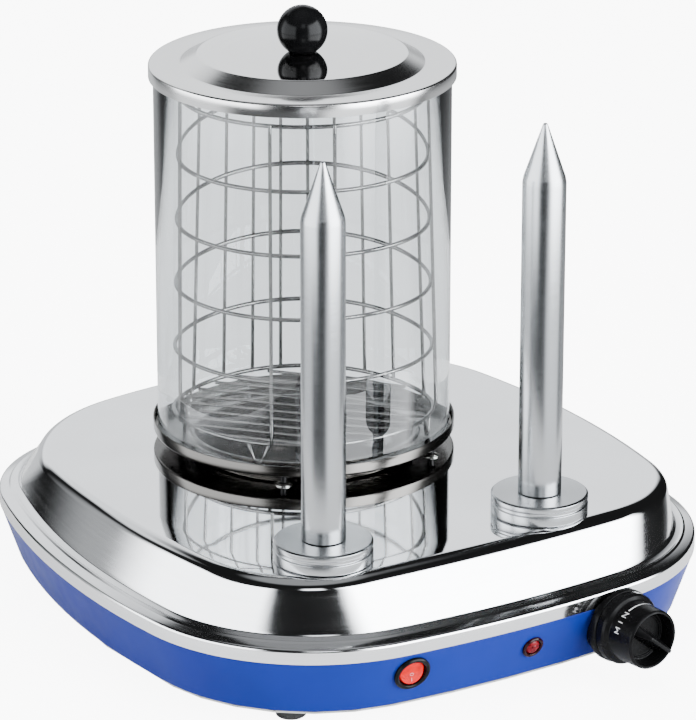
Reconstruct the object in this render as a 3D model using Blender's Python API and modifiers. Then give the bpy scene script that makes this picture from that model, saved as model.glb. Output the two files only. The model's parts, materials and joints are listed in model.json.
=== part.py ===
"""Hot dog steamer: a steam pan with a glass cylinder and a wire basket, and two heated bun spikes.

Units are metres, +Z is up and the control panel faces -Y. The origin is on the table, under the
middle of the footprint. Every part hangs on one empty, the datum, which stands on the axis of the
glass cylinder at the height of the platform's upper face, so part positions read from there.
"""
from math import asin, atan2, cos, pi, radians, sin, sqrt

import bmesh
import bpy
from mathutils import Matrix, Vector

# Datum: the glass axis and the platform's upper face, seen from the origin on the table.
PLATFORM_HEIGHT = 0.0960
GLASS_AXIS_Y = 0.05302

# Plan outlines: (front radius, its half angle, front corner radius, its angle, side radius,
# its angle, rear corner radius, its angle); the rear arc closes the loop.
RIM_OUTLINE = (0.840, radians(5.8), 0.128, radians(77.0), 0.565, radians(24.0), 0.110, radians(70.2))
PLATFORM_OUTLINE = (1.620, radians(3.3), 0.079, radians(76.3), 0.580, radians(19.6), 0.112, radians(70.2))
RIM_FRONT_Y = -0.2577
PLATFORM_FRONT_Y = -0.2270
OUTLINE_STEPS = (2, 6, 3, 6, 1)

# Sheet-metal casing.
COVER_SHEET = 0.0008
BODY_SHEET = 0.0012
FOLD_Z = -0.0345
FOLD_INSET = 0.0128
RIM_Z = -0.0385
LIP_Z = -0.0475
BODY_TOP_Z = -0.0415
WALL_TOP_Z = -0.0482
WALL_TOP_INSET = 0.0005
WALL_BOTTOM_Z = -0.0837
WALL_BOTTOM_INSET = 0.0125
FLANGE_Z = -0.0854
FLANGE_INSET = 0.0260
PLATE_TOP_Z = -0.0857
PLATE_BOTTOM_Z = -0.0869
PLATE_INSET = 0.0150
WALL_SLOPE = atan2(WALL_BOTTOM_INSET - WALL_TOP_INSET, WALL_TOP_Z - WALL_BOTTOM_Z)

# Feet and the posts that their screws pull on.
FOOT_PLACES = {"front_left": (-0.133, -0.198), "front_right": (0.133, -0.198),
               "rear_left": (-0.108, 0.080), "rear_right": (0.108, 0.080)}
FOOT_RADIUS = 0.0098
POST_RADIUS = 0.0048

# Steam pan, glass cylinder and lid.
PAN_RADIUS = 0.1001
PAN_RIM_Z = 0.0151
PAN_LEDGE_Z = 0.0084
PAN_SHEET = 0.0009
WELL_RADIUS = 0.0715
WELL_BOTTOM_Z = -0.0260
STUD_PLACE_RADIUS = 0.0930
STUD_ANGLES = (-40.0, 32.0, 140.0, 212.0)
GLASS_RADIUS = 0.0970
GLASS_WALL = 0.0030
GLASS_BOTTOM_Z = 0.0087
GLASS_TOP_Z = 0.2565
LID_RADIUS = 0.1000
LID_RIM_Z = 0.2577
LID_SKIRT_Z = 0.2489
LID_SHEET = 0.0008
PLATEAU_Z = 0.2642
PLATEAU_RADIUS = 0.0688
PLATEAU_BASE_RADIUS = 0.0797
BALL_RADIUS = 0.0165
BALL_CENTRE_Z = 0.2785

# Wire basket.
BASKET_RADIUS = 0.0836
BASKET_WIRE = 0.00135
BASKET_RINGS = 6
BASKET_LOWEST_RING_Z = 0.0248
BASKET_RING_PITCH = 0.04258
BASKET_UPRIGHTS = 16
BASKET_FLOOR_WIRES = 9
BASKET_FEET = 4
BASKET_TURN = radians(-50.8)
UPRIGHT_OFFSET = 0.0017

# Bun spikes.
SPIKE_PLACES = {"left": (-0.1043, -0.1908), "right": (0.0540, -0.1968)}
SPIKE_RADIUS = 0.01384
SPIKE_SHOULDER_Z = 0.2220
SPIKE_TIP_Z = 0.2572
DISC_RADIUS = 0.0310
DISC_TOP_Z = 0.0136

# Controls on the sloping front wall: x and z of each axis where it meets the wall.
SWITCH_PLACE = (-0.0770, -0.0616)
LAMP_PLACE = (0.0116, -0.0640)
KNOB_PLACE = (0.0750, -0.0618)
KNOB_SEAT_Y = -0.2550
GLAND_PLACE = (0.0, -0.0650)
ROCKER_PIVOT_DEPTH = -0.0030
ROCKER_TILT = radians(8.0)
GRIP_TURN = radians(-38.6)

GAP = 0.0003


# ---------------------------------------------------------------- scene and materials

def clear_scene():
    for item in list(bpy.data.objects):
        bpy.data.objects.remove(item, do_unlink=True)


def new_collection(name):
    group = bpy.data.collections.new(name)
    bpy.context.scene.collection.children.link(group)
    return group


def new_material(name, color, roughness, metallic, alpha=1.0):
    result = bpy.data.materials.new(name)
    result.use_nodes = True
    shader = result.node_tree.nodes["Principled BSDF"]
    shader.inputs["Base Color"].default_value = (*color, 1.0)
    shader.inputs["Roughness"].default_value = roughness
    shader.inputs["Metallic"].default_value = metallic
    shader.inputs["Alpha"].default_value = alpha
    return result


clear_scene()
PARTS = new_collection("hot_dog_steamer")
CUTTERS = new_collection("cutters")

DATUM = bpy.data.objects.new("datum", None)
DATUM.location = (0.0, GLASS_AXIS_Y, PLATFORM_HEIGHT)
PARTS.objects.link(DATUM)

ENAMEL = new_material("blue_enamel", (0.048, 0.114, 0.480), 0.28, 0.0)
POLISHED = new_material("polished_steel", (0.78, 0.78, 0.79), 0.08, 1.0)
SATIN = new_material("satin_steel", (0.66, 0.66, 0.66), 0.28, 1.0)
WIRE = new_material("wire_steel", (0.70, 0.69, 0.67), 0.20, 1.0)
ALUMINIUM = new_material("turned_aluminium", (0.76, 0.76, 0.77), 0.30, 1.0)
ZINC = new_material("zinc_plate", (0.62, 0.62, 0.60), 0.40, 1.0)
GLASS = new_material("clear_glass", (0.95, 0.97, 0.97), 0.02, 0.0, 0.2)
BLACK = new_material("black_plastic", (0.012, 0.012, 0.013), 0.22, 0.0)
RUBBER = new_material("black_rubber", (0.02, 0.02, 0.02), 0.70, 0.0)
RED = new_material("red_plastic", (0.62, 0.01, 0.01), 0.25, 0.0)
DARK_RED = new_material("dark_red_lens", (0.18, 0.008, 0.01), 0.20, 0.0)
BRASS = new_material("brass", (0.70, 0.50, 0.22), 0.30, 1.0)
NYLON = new_material("white_nylon", (0.75, 0.74, 0.70), 0.50, 0.0)
SLEEVE = new_material("wire_sleeve", (0.55, 0.50, 0.42), 0.60, 0.0)


# ---------------------------------------------------------------- modelling helpers

def place(name, mesh, finish, parent=None, location=(0.0, 0.0, 0.0), smooth=True):
    """One part: an object in the parts collection, hung on the datum or on another empty."""
    item = bpy.data.objects.new(name, mesh)
    item.parent = parent or DATUM
    item.location = location
    if finish:
        mesh.materials.clear()
        mesh.materials.append(finish)
    if smooth:
        mesh.shade_smooth()
        mesh.set_sharp_from_angle(angle=radians(35.0))
    PARTS.objects.link(item)
    return item


def turned(name, profile, finish, steps=24, parent=None, location=(0.0, 0.0, 0.0), start=0.0):
    """A solid of revolution about Z from (radius, height) points that run down the outer side."""
    shape = bmesh.new()
    points = [shape.verts.new((r * cos(start), r * sin(start), z)) for r, z in profile]
    for first, second in zip(points, points[1:]):
        shape.edges.new((first, second))
    if profile[0][0] > 0.0:
        shape.edges.new((points[-1], points[0]))
    mesh = bpy.data.meshes.new(name)
    shape.to_mesh(mesh)
    shape.free()
    item = place(name, mesh, finish, parent, location)
    screw = item.modifiers.new("turn", "SCREW")
    screw.axis = "Z"
    screw.steps = steps
    screw.render_steps = steps
    screw.use_merge_vertices = True
    screw.merge_threshold = 0.00001
    return item


def outline(shape, front_y, inset=0.0):
    """Plan outline as tangent arcs, from the middle of the front round by +X, counter-clockwise."""
    radii = [shape[0] - inset, shape[2] - inset, shape[4] - inset, shape[6] - inset]
    angles = [shape[1], shape[3], shape[5], shape[7]]
    x, y, heading = 0.0, front_y + inset, 0.0
    half = [(x, y)]
    for radius, angle, steps in zip(radii, angles, OUTLINE_STEPS):
        centre = (x - radius * sin(heading), y + radius * cos(heading))
        for step in range(1, steps + 1):
            turn = heading + angle * step / steps
            half.append((centre[0] + radius * sin(turn), centre[1] - radius * cos(turn)))
        heading += angle
        x, y = half[-1]
    rear_radius = x / sin(pi - heading)
    half.append((0.0, y + rear_radius * (1.0 + cos(heading))))
    return half + [(-px, py) for px, py in reversed(half[1:-1])]


def loft(name, rings, finish, cap_first=False):
    """An open surface through rings of (outline, height), the upper ring first."""
    shape = bmesh.new()
    rows = [[shape.verts.new((x, y, z)) for x, y in points] for points, z in rings]
    for upper, lower in zip(rows, rows[1:]):
        for i in range(len(upper)):
            j = (i + 1) % len(upper)
            shape.faces.new((lower[i], lower[j], upper[j], upper[i]))
    if cap_first:
        shape.faces.new(rows[0])
    mesh = bpy.data.meshes.new(name)
    shape.to_mesh(mesh)
    shape.free()
    return place(name, mesh, finish)


def shell(item, thickness):
    solidify = item.modifiers.new("sheet", "SOLIDIFY")
    solidify.thickness = thickness
    solidify.offset = -1.0
    solidify.use_even_offset = True


def plate(name, points, bottom, top, finish):
    """A flat plate from a 2D curve, turned into a mesh so that holes can be cut in it."""
    curve = bpy.data.curves.new(name, "CURVE")
    curve.dimensions = "2D"
    curve.fill_mode = "BOTH"
    curve.extrude = (top - bottom) / 2.0
    spline = curve.splines.new("POLY")
    spline.points.add(len(points) - 1)
    for point, (x, y) in zip(spline.points, points):
        point.co = (x, y, 0.0, 1.0)
    spline.use_cyclic_u = True
    return curve_to_part(name, curve, finish, (0.0, 0.0, (top + bottom) / 2.0))


def wire_mesh(name, points, radius, sides_level=0, cyclic=False):
    """Mesh of a round wire along a polyline, with welded end caps."""
    curve = bpy.data.curves.new(name, "CURVE")
    curve.dimensions = "3D"
    curve.bevel_depth = radius
    curve.bevel_resolution = sides_level
    curve.use_fill_caps = not cyclic
    spline = curve.splines.new("POLY")
    spline.points.add(len(points) - 1)
    for point, place_ in zip(spline.points, points):
        point.co = (*place_, 1.0)
    spline.use_cyclic_u = cyclic
    return evaluate_curve(name, curve)


def evaluate_curve(name, curve):
    guide = bpy.data.objects.new(name + "_guide", curve)
    bpy.context.scene.collection.objects.link(guide)
    graph = bpy.context.evaluated_depsgraph_get()
    mesh = bpy.data.meshes.new_from_object(guide.evaluated_get(graph))
    bpy.data.objects.remove(guide, do_unlink=True)
    shape = bmesh.new()
    shape.from_mesh(mesh)
    bmesh.ops.remove_doubles(shape, verts=shape.verts, dist=0.00001)
    bmesh.ops.recalc_face_normals(shape, faces=shape.faces)
    shape.to_mesh(mesh)
    shape.free()
    mesh.name = name
    return mesh


def curve_to_part(name, curve, finish, location):
    return place(name, evaluate_curve(name, curve), finish, location=location, smooth=False)


def block_mesh(name, size, centre=(0.0, 0.0, 0.0)):
    """A rectangular block."""
    shape = bmesh.new()
    bmesh.ops.create_cube(shape, size=1.0)
    for vert in shape.verts:
        vert.co = Vector((vert.co.x * size[0], vert.co.y * size[1], vert.co.z * size[2])) + Vector(centre)
    mesh = bpy.data.meshes.new(name)
    shape.to_mesh(mesh)
    shape.free()
    return mesh


def roof_mesh(name, base, ridge):
    """A bar like a hipped roof; base and ridge are (start, end, half width, height) of its faces."""
    shape = bmesh.new()
    rows = []
    for start, end, half, z in (base, ridge):
        corners = ((start, -half, z), (end, -half, z), (end, half, z), (start, half, z))
        rows.append([shape.verts.new(corner) for corner in corners])
    shape.faces.new(reversed(rows[0]))
    shape.faces.new(rows[1])
    for i in range(4):
        j = (i + 1) % 4
        shape.faces.new((rows[0][i], rows[0][j], rows[1][j], rows[1][i]))
    mesh = bpy.data.meshes.new(name)
    shape.to_mesh(mesh)
    shape.free()
    return mesh


def rod_mesh(name, radius, bottom, top, sides=16):
    """A plain cylinder along Z."""
    shape = bmesh.new()
    bmesh.ops.create_cone(shape, cap_ends=True, segments=sides, radius1=radius, radius2=radius,
                          depth=top - bottom)
    bmesh.ops.translate(shape, verts=shape.verts, vec=(0.0, 0.0, (top + bottom) / 2.0))
    mesh = bpy.data.meshes.new(name)
    shape.to_mesh(mesh)
    shape.free()
    return mesh


def cutter(name, mesh, parent=None, location=(0.0, 0.0, 0.0), rotation=(0.0, 0.0, 0.0)):
    item = bpy.data.objects.new(name, mesh)
    item.parent = parent or DATUM
    item.location = location
    item.rotation_euler = rotation
    item.hide_render = True
    item.display_type = "WIRE"
    CUTTERS.objects.link(item)
    return item


def combine(item, tool, operation="DIFFERENCE", self_union=False):
    change = item.modifiers.new(operation.lower(), "BOOLEAN")
    change.operation = operation
    change.object = tool
    change.solver = "EXACT"
    change.use_self = self_union


def bevel(item, width, segments=1):
    rounding = item.modifiers.new("rounding", "BEVEL")
    rounding.width = width
    rounding.segments = segments
    rounding.limit_method = "ANGLE"
    rounding.angle_limit = radians(40.0)


def wall_frame(name, x, z, slope=WALL_SLOPE, rear=False, y=None):
    """An empty on the body wall whose Z points out of the wall and whose Y points up it."""
    inset = WALL_TOP_INSET + (WALL_TOP_Z - z) * (WALL_BOTTOM_INSET - WALL_TOP_INSET) / (WALL_TOP_Z - WALL_BOTTOM_Z)
    if rear:
        points = outline(RIM_OUTLINE, RIM_FRONT_Y, inset)
        turn, wall_y = pi, max(py for _, py in points)
    else:
        radius = RIM_OUTLINE[0] - inset
        turn = asin(x / radius)
        wall_y = RIM_FRONT_Y + inset + radius * (1.0 - cos(turn))
    across = Vector((cos(turn), sin(turn), 0.0))
    outward = Vector((sin(turn) * cos(slope), -cos(turn) * cos(slope), -sin(slope)))
    upward = outward.cross(across)
    frame = bpy.data.objects.new(name, None)
    frame.parent = DATUM
    frame.matrix_local = Matrix((
        (across.x, upward.x, outward.x, x),
        (across.y, upward.y, outward.y, wall_y if y is None else y),
        (across.z, upward.z, outward.z, z),
        (0.0, 0.0, 0.0, 1.0)))
    PARTS.objects.link(frame)
    return frame


# ---------------------------------------------------------------- casing

def build_body(holes):
    """Blue pan of sheet steel: joggled top edge, sloping wall and an inward bottom flange."""
    levels = ((0.0022, BODY_TOP_Z), (0.0022, WALL_TOP_Z + 0.0012), (WALL_TOP_INSET, WALL_TOP_Z),
              (WALL_BOTTOM_INSET, WALL_BOTTOM_Z), (0.0140, FLANGE_Z + 0.0004), (FLANGE_INSET, FLANGE_Z))
    rings = [(outline(RIM_OUTLINE, RIM_FRONT_Y, inset), z) for inset, z in levels]
    body = loft("base_body", rings, ENAMEL)
    shell(body, BODY_SHEET)
    for frame, radius in holes:
        hole = cutter(frame.name + "_hole", rod_mesh(frame.name + "_hole", radius, -0.012, 0.010), frame)
        combine(body, hole)


def build_bottom_plate():
    bottom = plate("bottom_plate", outline(RIM_OUTLINE, RIM_FRONT_Y, PLATE_INSET),
                   PLATE_BOTTOM_Z, PLATE_TOP_Z, ZINC)
    for corner, (x, y) in FOOT_PLACES.items():
        hole = rod_mesh("plate_hole", 0.0027, PLATE_BOTTOM_Z - 0.002, PLATE_TOP_Z + 0.002, 10)
        combine(bottom, cutter("plate_hole_" + corner, hole, location=(x, y, 0.0)))
    stud_hole = rod_mesh("earth_hole", 0.0025, PLATE_BOTTOM_Z - 0.002, PLATE_TOP_Z + 0.002, 10)
    combine(bottom, cutter("earth_hole", stud_hole, location=(0.020, 0.110, 0.0)))


def build_cover():
    """Mirror-finish cover: flat platform, steep step, sloping flange and a deep lip."""
    platform = [(outline(PLATFORM_OUTLINE, PLATFORM_FRONT_Y, inset), z) for inset, z in (
        (0.0045, 0.0), (-0.0008, -0.0012), (-0.0042, -0.0052))]
    flange = [(outline(RIM_OUTLINE, RIM_FRONT_Y, inset), z) for inset, z in (
        (FOLD_INSET + 0.0012, FOLD_Z + 0.0010), (FOLD_INSET, FOLD_Z), (0.0015, RIM_Z + 0.0011), (0.0, RIM_Z),
        (0.0, LIP_Z))]
    cover = loft("top_cover", platform + flange, POLISHED, cap_first=True)
    shell(cover, COVER_SHEET)
    well_hole = rod_mesh("well_hole", WELL_RADIUS + 0.0025, -0.005, 0.005, 40)
    combine(cover, cutter("well_hole", well_hole))
    for side, (x, y) in SPIKE_PLACES.items():
        hole = rod_mesh("spike_hole", 0.0084, -0.005, 0.005, 16)
        combine(cover, cutter("spike_hole_" + side, hole, location=(x, y, 0.0)))


def build_feet():
    """Rubber feet, their screws, and the posts inside the casing that take the screws."""
    top = PLATE_BOTTOM_Z - GAP
    table = -PLATFORM_HEIGHT
    seat = table + 0.0050
    foot = ((0.0026, top), (FOOT_RADIUS + 0.0008, top), (FOOT_RADIUS, table), (0.0050, table),
            (0.0050, seat), (0.0026, seat))
    screw = ((0.0, -0.0680), (0.0021, -0.0680), (0.0021, seat - GAP), (0.0043, seat - GAP),
             (0.0043, seat - 0.0028), (0.0, seat - 0.0028))
    post_top = -COVER_SHEET - 0.0018
    post = ((0.0, post_top), (POST_RADIUS, post_top), (POST_RADIUS, PLATE_TOP_Z + GAP),
            (0.0026, PLATE_TOP_Z + GAP), (0.0026, -0.0660), (0.0, -0.0660))
    for corner, (x, y) in FOOT_PLACES.items():
        turned("foot_" + corner, foot, RUBBER, 16, location=(x, y, 0.0))
        turned("foot_screw_" + corner, screw, ZINC, 10, location=(x, y, 0.0))
        turned("cover_post_" + corner, post, ZINC, 10, location=(x, y, 0.0))


# ---------------------------------------------------------------- steam pan

def build_pan():
    """Steam pan: upright rim, ledge for the glass, raised bead and a deep water well."""
    t = PAN_SHEET
    profile = (
        (0.0, WELL_BOTTOM_Z + t), (WELL_RADIUS - t - 0.004, WELL_BOTTOM_Z + t),
        (WELL_RADIUS - t, WELL_BOTTOM_Z + t + 0.004), (WELL_RADIUS - t, PAN_LEDGE_Z + 0.0012),
        (WELL_RADIUS + 0.0020, PAN_LEDGE_Z + 0.0012), (WELL_RADIUS + 0.0040, PAN_LEDGE_Z),
        (PAN_RADIUS - t, PAN_LEDGE_Z), (PAN_RADIUS - t, PAN_RIM_Z), (PAN_RADIUS, PAN_RIM_Z),
        (PAN_RADIUS, PAN_LEDGE_Z - t), (WELL_RADIUS + 0.0035, PAN_LEDGE_Z - t),
        (WELL_RADIUS, PAN_LEDGE_Z - t - 0.0010), (WELL_RADIUS, WELL_BOTTOM_Z + 0.004),
        (WELL_RADIUS - 0.004, WELL_BOTTOM_Z), (0.0, WELL_BOTTOM_Z))
    turned("steam_pan", profile, SATIN, 36)
    low, high = GAP, PAN_LEDGE_Z - t - GAP
    stud = ((0.0, high), (0.0022, high), (0.0022, low + 0.0030), (0.0036, low + 0.0022), (0.0043, low + 0.0008),
            (0.0056, low + 0.0008), (0.0056, low), (0.0, low))
    for number, angle in enumerate(STUD_ANGLES, start=1):
        spot = (STUD_PLACE_RADIUS * sin(radians(angle)), -STUD_PLACE_RADIUS * cos(radians(angle)), 0.0)
        turned("pan_stud_%d" % number, stud, ZINC, 10, location=spot)


def build_pan_heater():
    """Sheathed ring element clamped under the well, with its bracket, screw and thermal cut-out."""
    radius, rod = 0.050, 0.0032
    level = WELL_BOTTOM_Z - GAP - rod
    sweep = [radians(20.0 + 320.0 * i / 24.0) for i in range(25)]
    ring = [(radius * cos(a), radius * sin(a), level) for a in sweep]
    start = [(0.074 * cos(sweep[0]), 0.074 * sin(sweep[0]), level - 0.012),
             (0.064 * cos(sweep[0]), 0.064 * sin(sweep[0]), level - 0.002)]
    finish = [(x, -y, z) for x, y, z in reversed(start)]
    place("pan_heater", wire_mesh("pan_heater", start + ring + finish, rod, 1), SATIN)
    bracket_top = level - rod - GAP
    bracket = place("heater_bracket", block_mesh("heater_bracket", (0.016, 0.118, 0.0015),
                                                 (0.0, 0.0, bracket_top - 0.00075)), ZINC, smooth=False)
    combine(bracket, cutter("bracket_hole", rod_mesh("bracket_hole", 0.0027, bracket_top - 0.005,
                                                     bracket_top + 0.005, 10)))
    screw = ((0.0, WELL_BOTTOM_Z - GAP), (0.0022, WELL_BOTTOM_Z - GAP), (0.0022, bracket_top - 0.0018),
             (0.0045, bracket_top - 0.0018), (0.0045, bracket_top - 0.0045), (0.0, bracket_top - 0.0045))
    turned("bracket_screw", screw, ZINC, 10)
    cut_out = ((0.0, WELL_BOTTOM_Z - GAP), (0.0080, WELL_BOTTOM_Z - GAP), (0.0080, WELL_BOTTOM_Z - 0.0085),
               (0.0, WELL_BOTTOM_Z - 0.0085))
    turned("thermal_cut_out", cut_out, BLACK, 14, location=(0.024, 0.0, 0.0))


# ---------------------------------------------------------------- glass, lid and basket

def build_glass():
    inner = GLASS_RADIUS - GLASS_WALL
    profile = ((inner, GLASS_TOP_Z), (GLASS_RADIUS, GLASS_TOP_Z), (GLASS_RADIUS, GLASS_BOTTOM_Z),
               (inner, GLASS_BOTTOM_Z))
    turned("glass_cylinder", profile, GLASS, 36)


def build_lid():
    """Pressed lid with a raised plateau, the ball knob, and the screw and washer that hold it."""
    t = LID_SHEET
    hole = 0.0025
    profile = (
        (hole, PLATEAU_Z), (PLATEAU_RADIUS, PLATEAU_Z), (PLATEAU_BASE_RADIUS, LID_RIM_Z),
        (LID_RADIUS - 0.0015, LID_RIM_Z), (LID_RADIUS, LID_RIM_Z - 0.0015), (LID_RADIUS, LID_SKIRT_Z),
        (LID_RADIUS - t, LID_SKIRT_Z), (LID_RADIUS - t, LID_RIM_Z - 0.0015 - t / 2.0),
        (LID_RADIUS - t - 0.0010, LID_RIM_Z - t), (PLATEAU_BASE_RADIUS - 0.0003, LID_RIM_Z - t),
        (PLATEAU_RADIUS - 0.0003, PLATEAU_Z - t), (hole, PLATEAU_Z - t))
    turned("lid", profile, SATIN, 36)
    base = PLATEAU_Z + GAP
    low = asin((base - BALL_CENTRE_Z) / BALL_RADIUS)
    ball = [(0.0, BALL_CENTRE_Z + BALL_RADIUS)]
    for step in range(1, 9):
        angle = pi / 2.0 + (low - pi / 2.0) * step / 8.0
        ball.append((BALL_RADIUS * cos(angle), BALL_CENTRE_Z + BALL_RADIUS * sin(angle)))
    ball += [(0.0024, base), (0.0024, 0.2760), (0.0, 0.2760)]
    turned("lid_knob", ball, BLACK, 24)
    washer_top = PLATEAU_Z - t - GAP
    washer = ((hole, washer_top), (0.0065, washer_top), (0.0065, washer_top - 0.0010), (hole, washer_top - 0.0010))
    turned("lid_washer", washer, ZINC, 16)
    head_top = washer_top - 0.0010 - GAP
    screw = ((0.0, 0.2745), (0.0020, 0.2745), (0.0020, head_top), (0.0042, head_top),
             (0.0036, head_top - 0.0022), (0.0, head_top - 0.0022))
    turned("lid_screw", screw, ZINC, 12)


def basket_point(angle, radius, z):
    """A point of the basket; angle 0 faces -Y and grows towards +X."""
    return (radius * sin(angle), -radius * cos(angle), z)


def basket_wires():
    """Wires of the basket as (points, closed) pairs: hoops, uprights, floor and feet."""
    hoops = [BASKET_LOWEST_RING_Z + BASKET_RING_PITCH * i for i in range(BASKET_RINGS)]
    wires = []
    for z in hoops:
        wires.append(([basket_point(2.0 * pi * i / 28, BASKET_RADIUS, z) for i in range(28)], True))
    outer = BASKET_RADIUS + UPRIGHT_OFFSET
    for i in range(BASKET_UPRIGHTS):
        angle = BASKET_TURN + 2.0 * pi * (i + 0.5) / BASKET_UPRIGHTS
        wires.append(([basket_point(angle, outer, hoops[0] - 0.0015), basket_point(angle, outer, hoops[-1] + 0.0015)],
                      False))
    floor_z = hoops[0] - UPRIGHT_OFFSET
    half = (BASKET_FLOOR_WIRES - 1) / 2.0
    pitch = 2.0 * BASKET_RADIUS / (BASKET_FLOOR_WIRES + 1)
    for i in range(BASKET_FLOOR_WIRES):
        aside = (i - half) * pitch
        reach = sqrt(BASKET_RADIUS ** 2 - aside ** 2) + 0.0006
        ends = [Vector((-reach, aside, floor_z)), Vector((reach, aside, floor_z))]
        turn = Matrix.Rotation(BASKET_TURN, 3, "Z")
        wires.append(([tuple(turn @ end) for end in ends], False))
    for i in range(BASKET_FEET):
        angle = BASKET_TURN + 2.0 * pi * i / BASKET_FEET
        low = PAN_LEDGE_Z + GAP + BASKET_WIRE
        wires.append(([basket_point(angle - 0.15, BASKET_RADIUS - 0.0022, hoops[0] + 0.001),
                       basket_point(angle - 0.04, BASKET_RADIUS - 0.0022, low),
                       basket_point(angle + 0.04, BASKET_RADIUS - 0.0022, low),
                       basket_point(angle + 0.15, BASKET_RADIUS - 0.0022, hoops[0] + 0.001)], False))
    return wires


def build_basket():
    """Welded wire basket: the hoops, uprights, floor wires and feet joined into one body."""
    wires = basket_wires()
    first = wire_mesh("basket", wires[0][0], BASKET_WIRE, 0, wires[0][1])
    basket = place("basket", first, WIRE, smooth=False)
    shape = bmesh.new()
    for points, closed in wires[1:]:
        shape.from_mesh(wire_mesh("basket_wire", points, BASKET_WIRE, 0, closed))
    rest = bpy.data.meshes.new("basket_wires")
    shape.to_mesh(rest)
    shape.free()
    combine(basket, cutter("basket_wires", rest), "UNION", self_union=True)


# ---------------------------------------------------------------- bun spikes

def build_spikes():
    """Hollow aluminium spikes with cartridge heaters, stepped discs and clamping nuts."""
    spigot, bore = 0.0080, 0.0054
    spike = ((0.0, SPIKE_TIP_Z), (0.0014, SPIKE_TIP_Z - 0.0007), (SPIKE_RADIUS, SPIKE_SHOULDER_Z),
             (SPIKE_RADIUS, DISC_TOP_Z + GAP), (spigot, DISC_TOP_Z + GAP), (spigot, -0.0140),
             (bore, -0.0140), (bore, 0.2050), (0.0, 0.2050))
    hole = spigot + 0.0004
    edge = DISC_RADIUS - 0.0006
    groove = DISC_RADIUS - 0.0016
    disc = ((hole, DISC_TOP_Z), (edge, DISC_TOP_Z), (DISC_RADIUS, DISC_TOP_Z - 0.0006), (DISC_RADIUS, 0.0095),
            (groove, 0.0090), (groove, 0.0070), (DISC_RADIUS, 0.0065), (DISC_RADIUS, 0.0009),
            (edge, GAP), (hole, GAP))
    heater = ((0.0, 0.2000), (0.0050, 0.2000), (0.0050, -0.0180), (0.0, -0.0180))
    nut = ((0.0098, -0.0012), (0.0140, -0.0012), (0.0140, -0.0080), (0.0098, -0.0080))
    for side, (x, y) in SPIKE_PLACES.items():
        spot = (x, y, 0.0)
        turned("spike_" + side, spike, ALUMINIUM, 24, location=spot)
        turned("spike_disc_" + side, disc, ALUMINIUM, 24, location=spot)
        turned("spike_heater_" + side, heater, ZINC, 14, location=spot)
        turned("spike_nut_" + side, nut, ZINC, 6, location=spot)


# ---------------------------------------------------------------- controls

def build_switch(frame):
    """Round rocker switch: housing with a collar, and a rocker that tilts in it."""
    housing = ((0.0, -0.0125), (0.0093, -0.0125), (0.0093, 0.0024), (0.0108, 0.0029), (0.0122, 0.0018),
               (0.0122, GAP), (0.0098, GAP), (0.0098, -0.0240), (0.0, -0.0240))
    turned("switch_housing", housing, BLACK, 24, parent=frame)
    pivot = bpy.data.objects.new("rocker_pivot", None)
    pivot.parent = frame
    pivot.location = (0.0, 0.0, ROCKER_PIVOT_DEPTH)
    pivot.rotation_euler = (-ROCKER_TILT, 0.0, 0.0)
    PARTS.objects.link(pivot)
    ball = bmesh.new()
    bmesh.ops.create_uvsphere(ball, u_segments=20, v_segments=12, radius=0.0089)
    mesh = bpy.data.meshes.new("rocker")
    ball.to_mesh(mesh)
    ball.free()
    rocker = place("switch_rocker", mesh, RED, pivot)
    reach = 0.020
    valley = 0.0032
    for sign, label in ((1.0, "upper"), (-1.0, "lower")):
        slab = block_mesh("rocker_" + label, (reach, reach, reach), (0.0, sign * reach / 2.0, reach / 2.0))
        combine(rocker, cutter("rocker_" + label, slab, pivot, (0.0, -sign * 0.0002, valley),
                               (sign * ROCKER_TILT, 0.0, 0.0)))
    underside = block_mesh("rocker_under", (reach, reach, reach), (0.0, 0.0, -reach / 2.0))
    combine(rocker, cutter("rocker_under", underside, pivot, (0.0, 0.0, -0.0045)))


def build_lamp(frame):
    """Neon pilot lamp: bezel with a barrel, neon tube and a domed lens."""
    housing = ((0.0, -0.0040), (0.0054, -0.0040), (0.0054, 0.0018), (0.0064, 0.0022), (0.0075, 0.0014),
               (0.0075, GAP), (0.0057, GAP), (0.0057, -0.0180), (0.0, -0.0180))
    turned("lamp_housing", housing, BLACK, 20, parent=frame)
    lens = ((0.0, 0.0030), (0.0022, 0.0027), (0.0040, 0.0018), (0.0050, 0.0006), (0.0050, -0.0010),
            (0.0044, -0.0010), (0.0036, 0.0006), (0.0, 0.0018))
    turned("lamp_lens", lens, DARK_RED, 20, parent=frame)
    neon = ((0.0, 0.0010), (0.0016, 0.0002), (0.0016, -0.0034), (0.0, -0.0034))
    turned("lamp_neon", neon, GLASS, 10, parent=frame)


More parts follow.
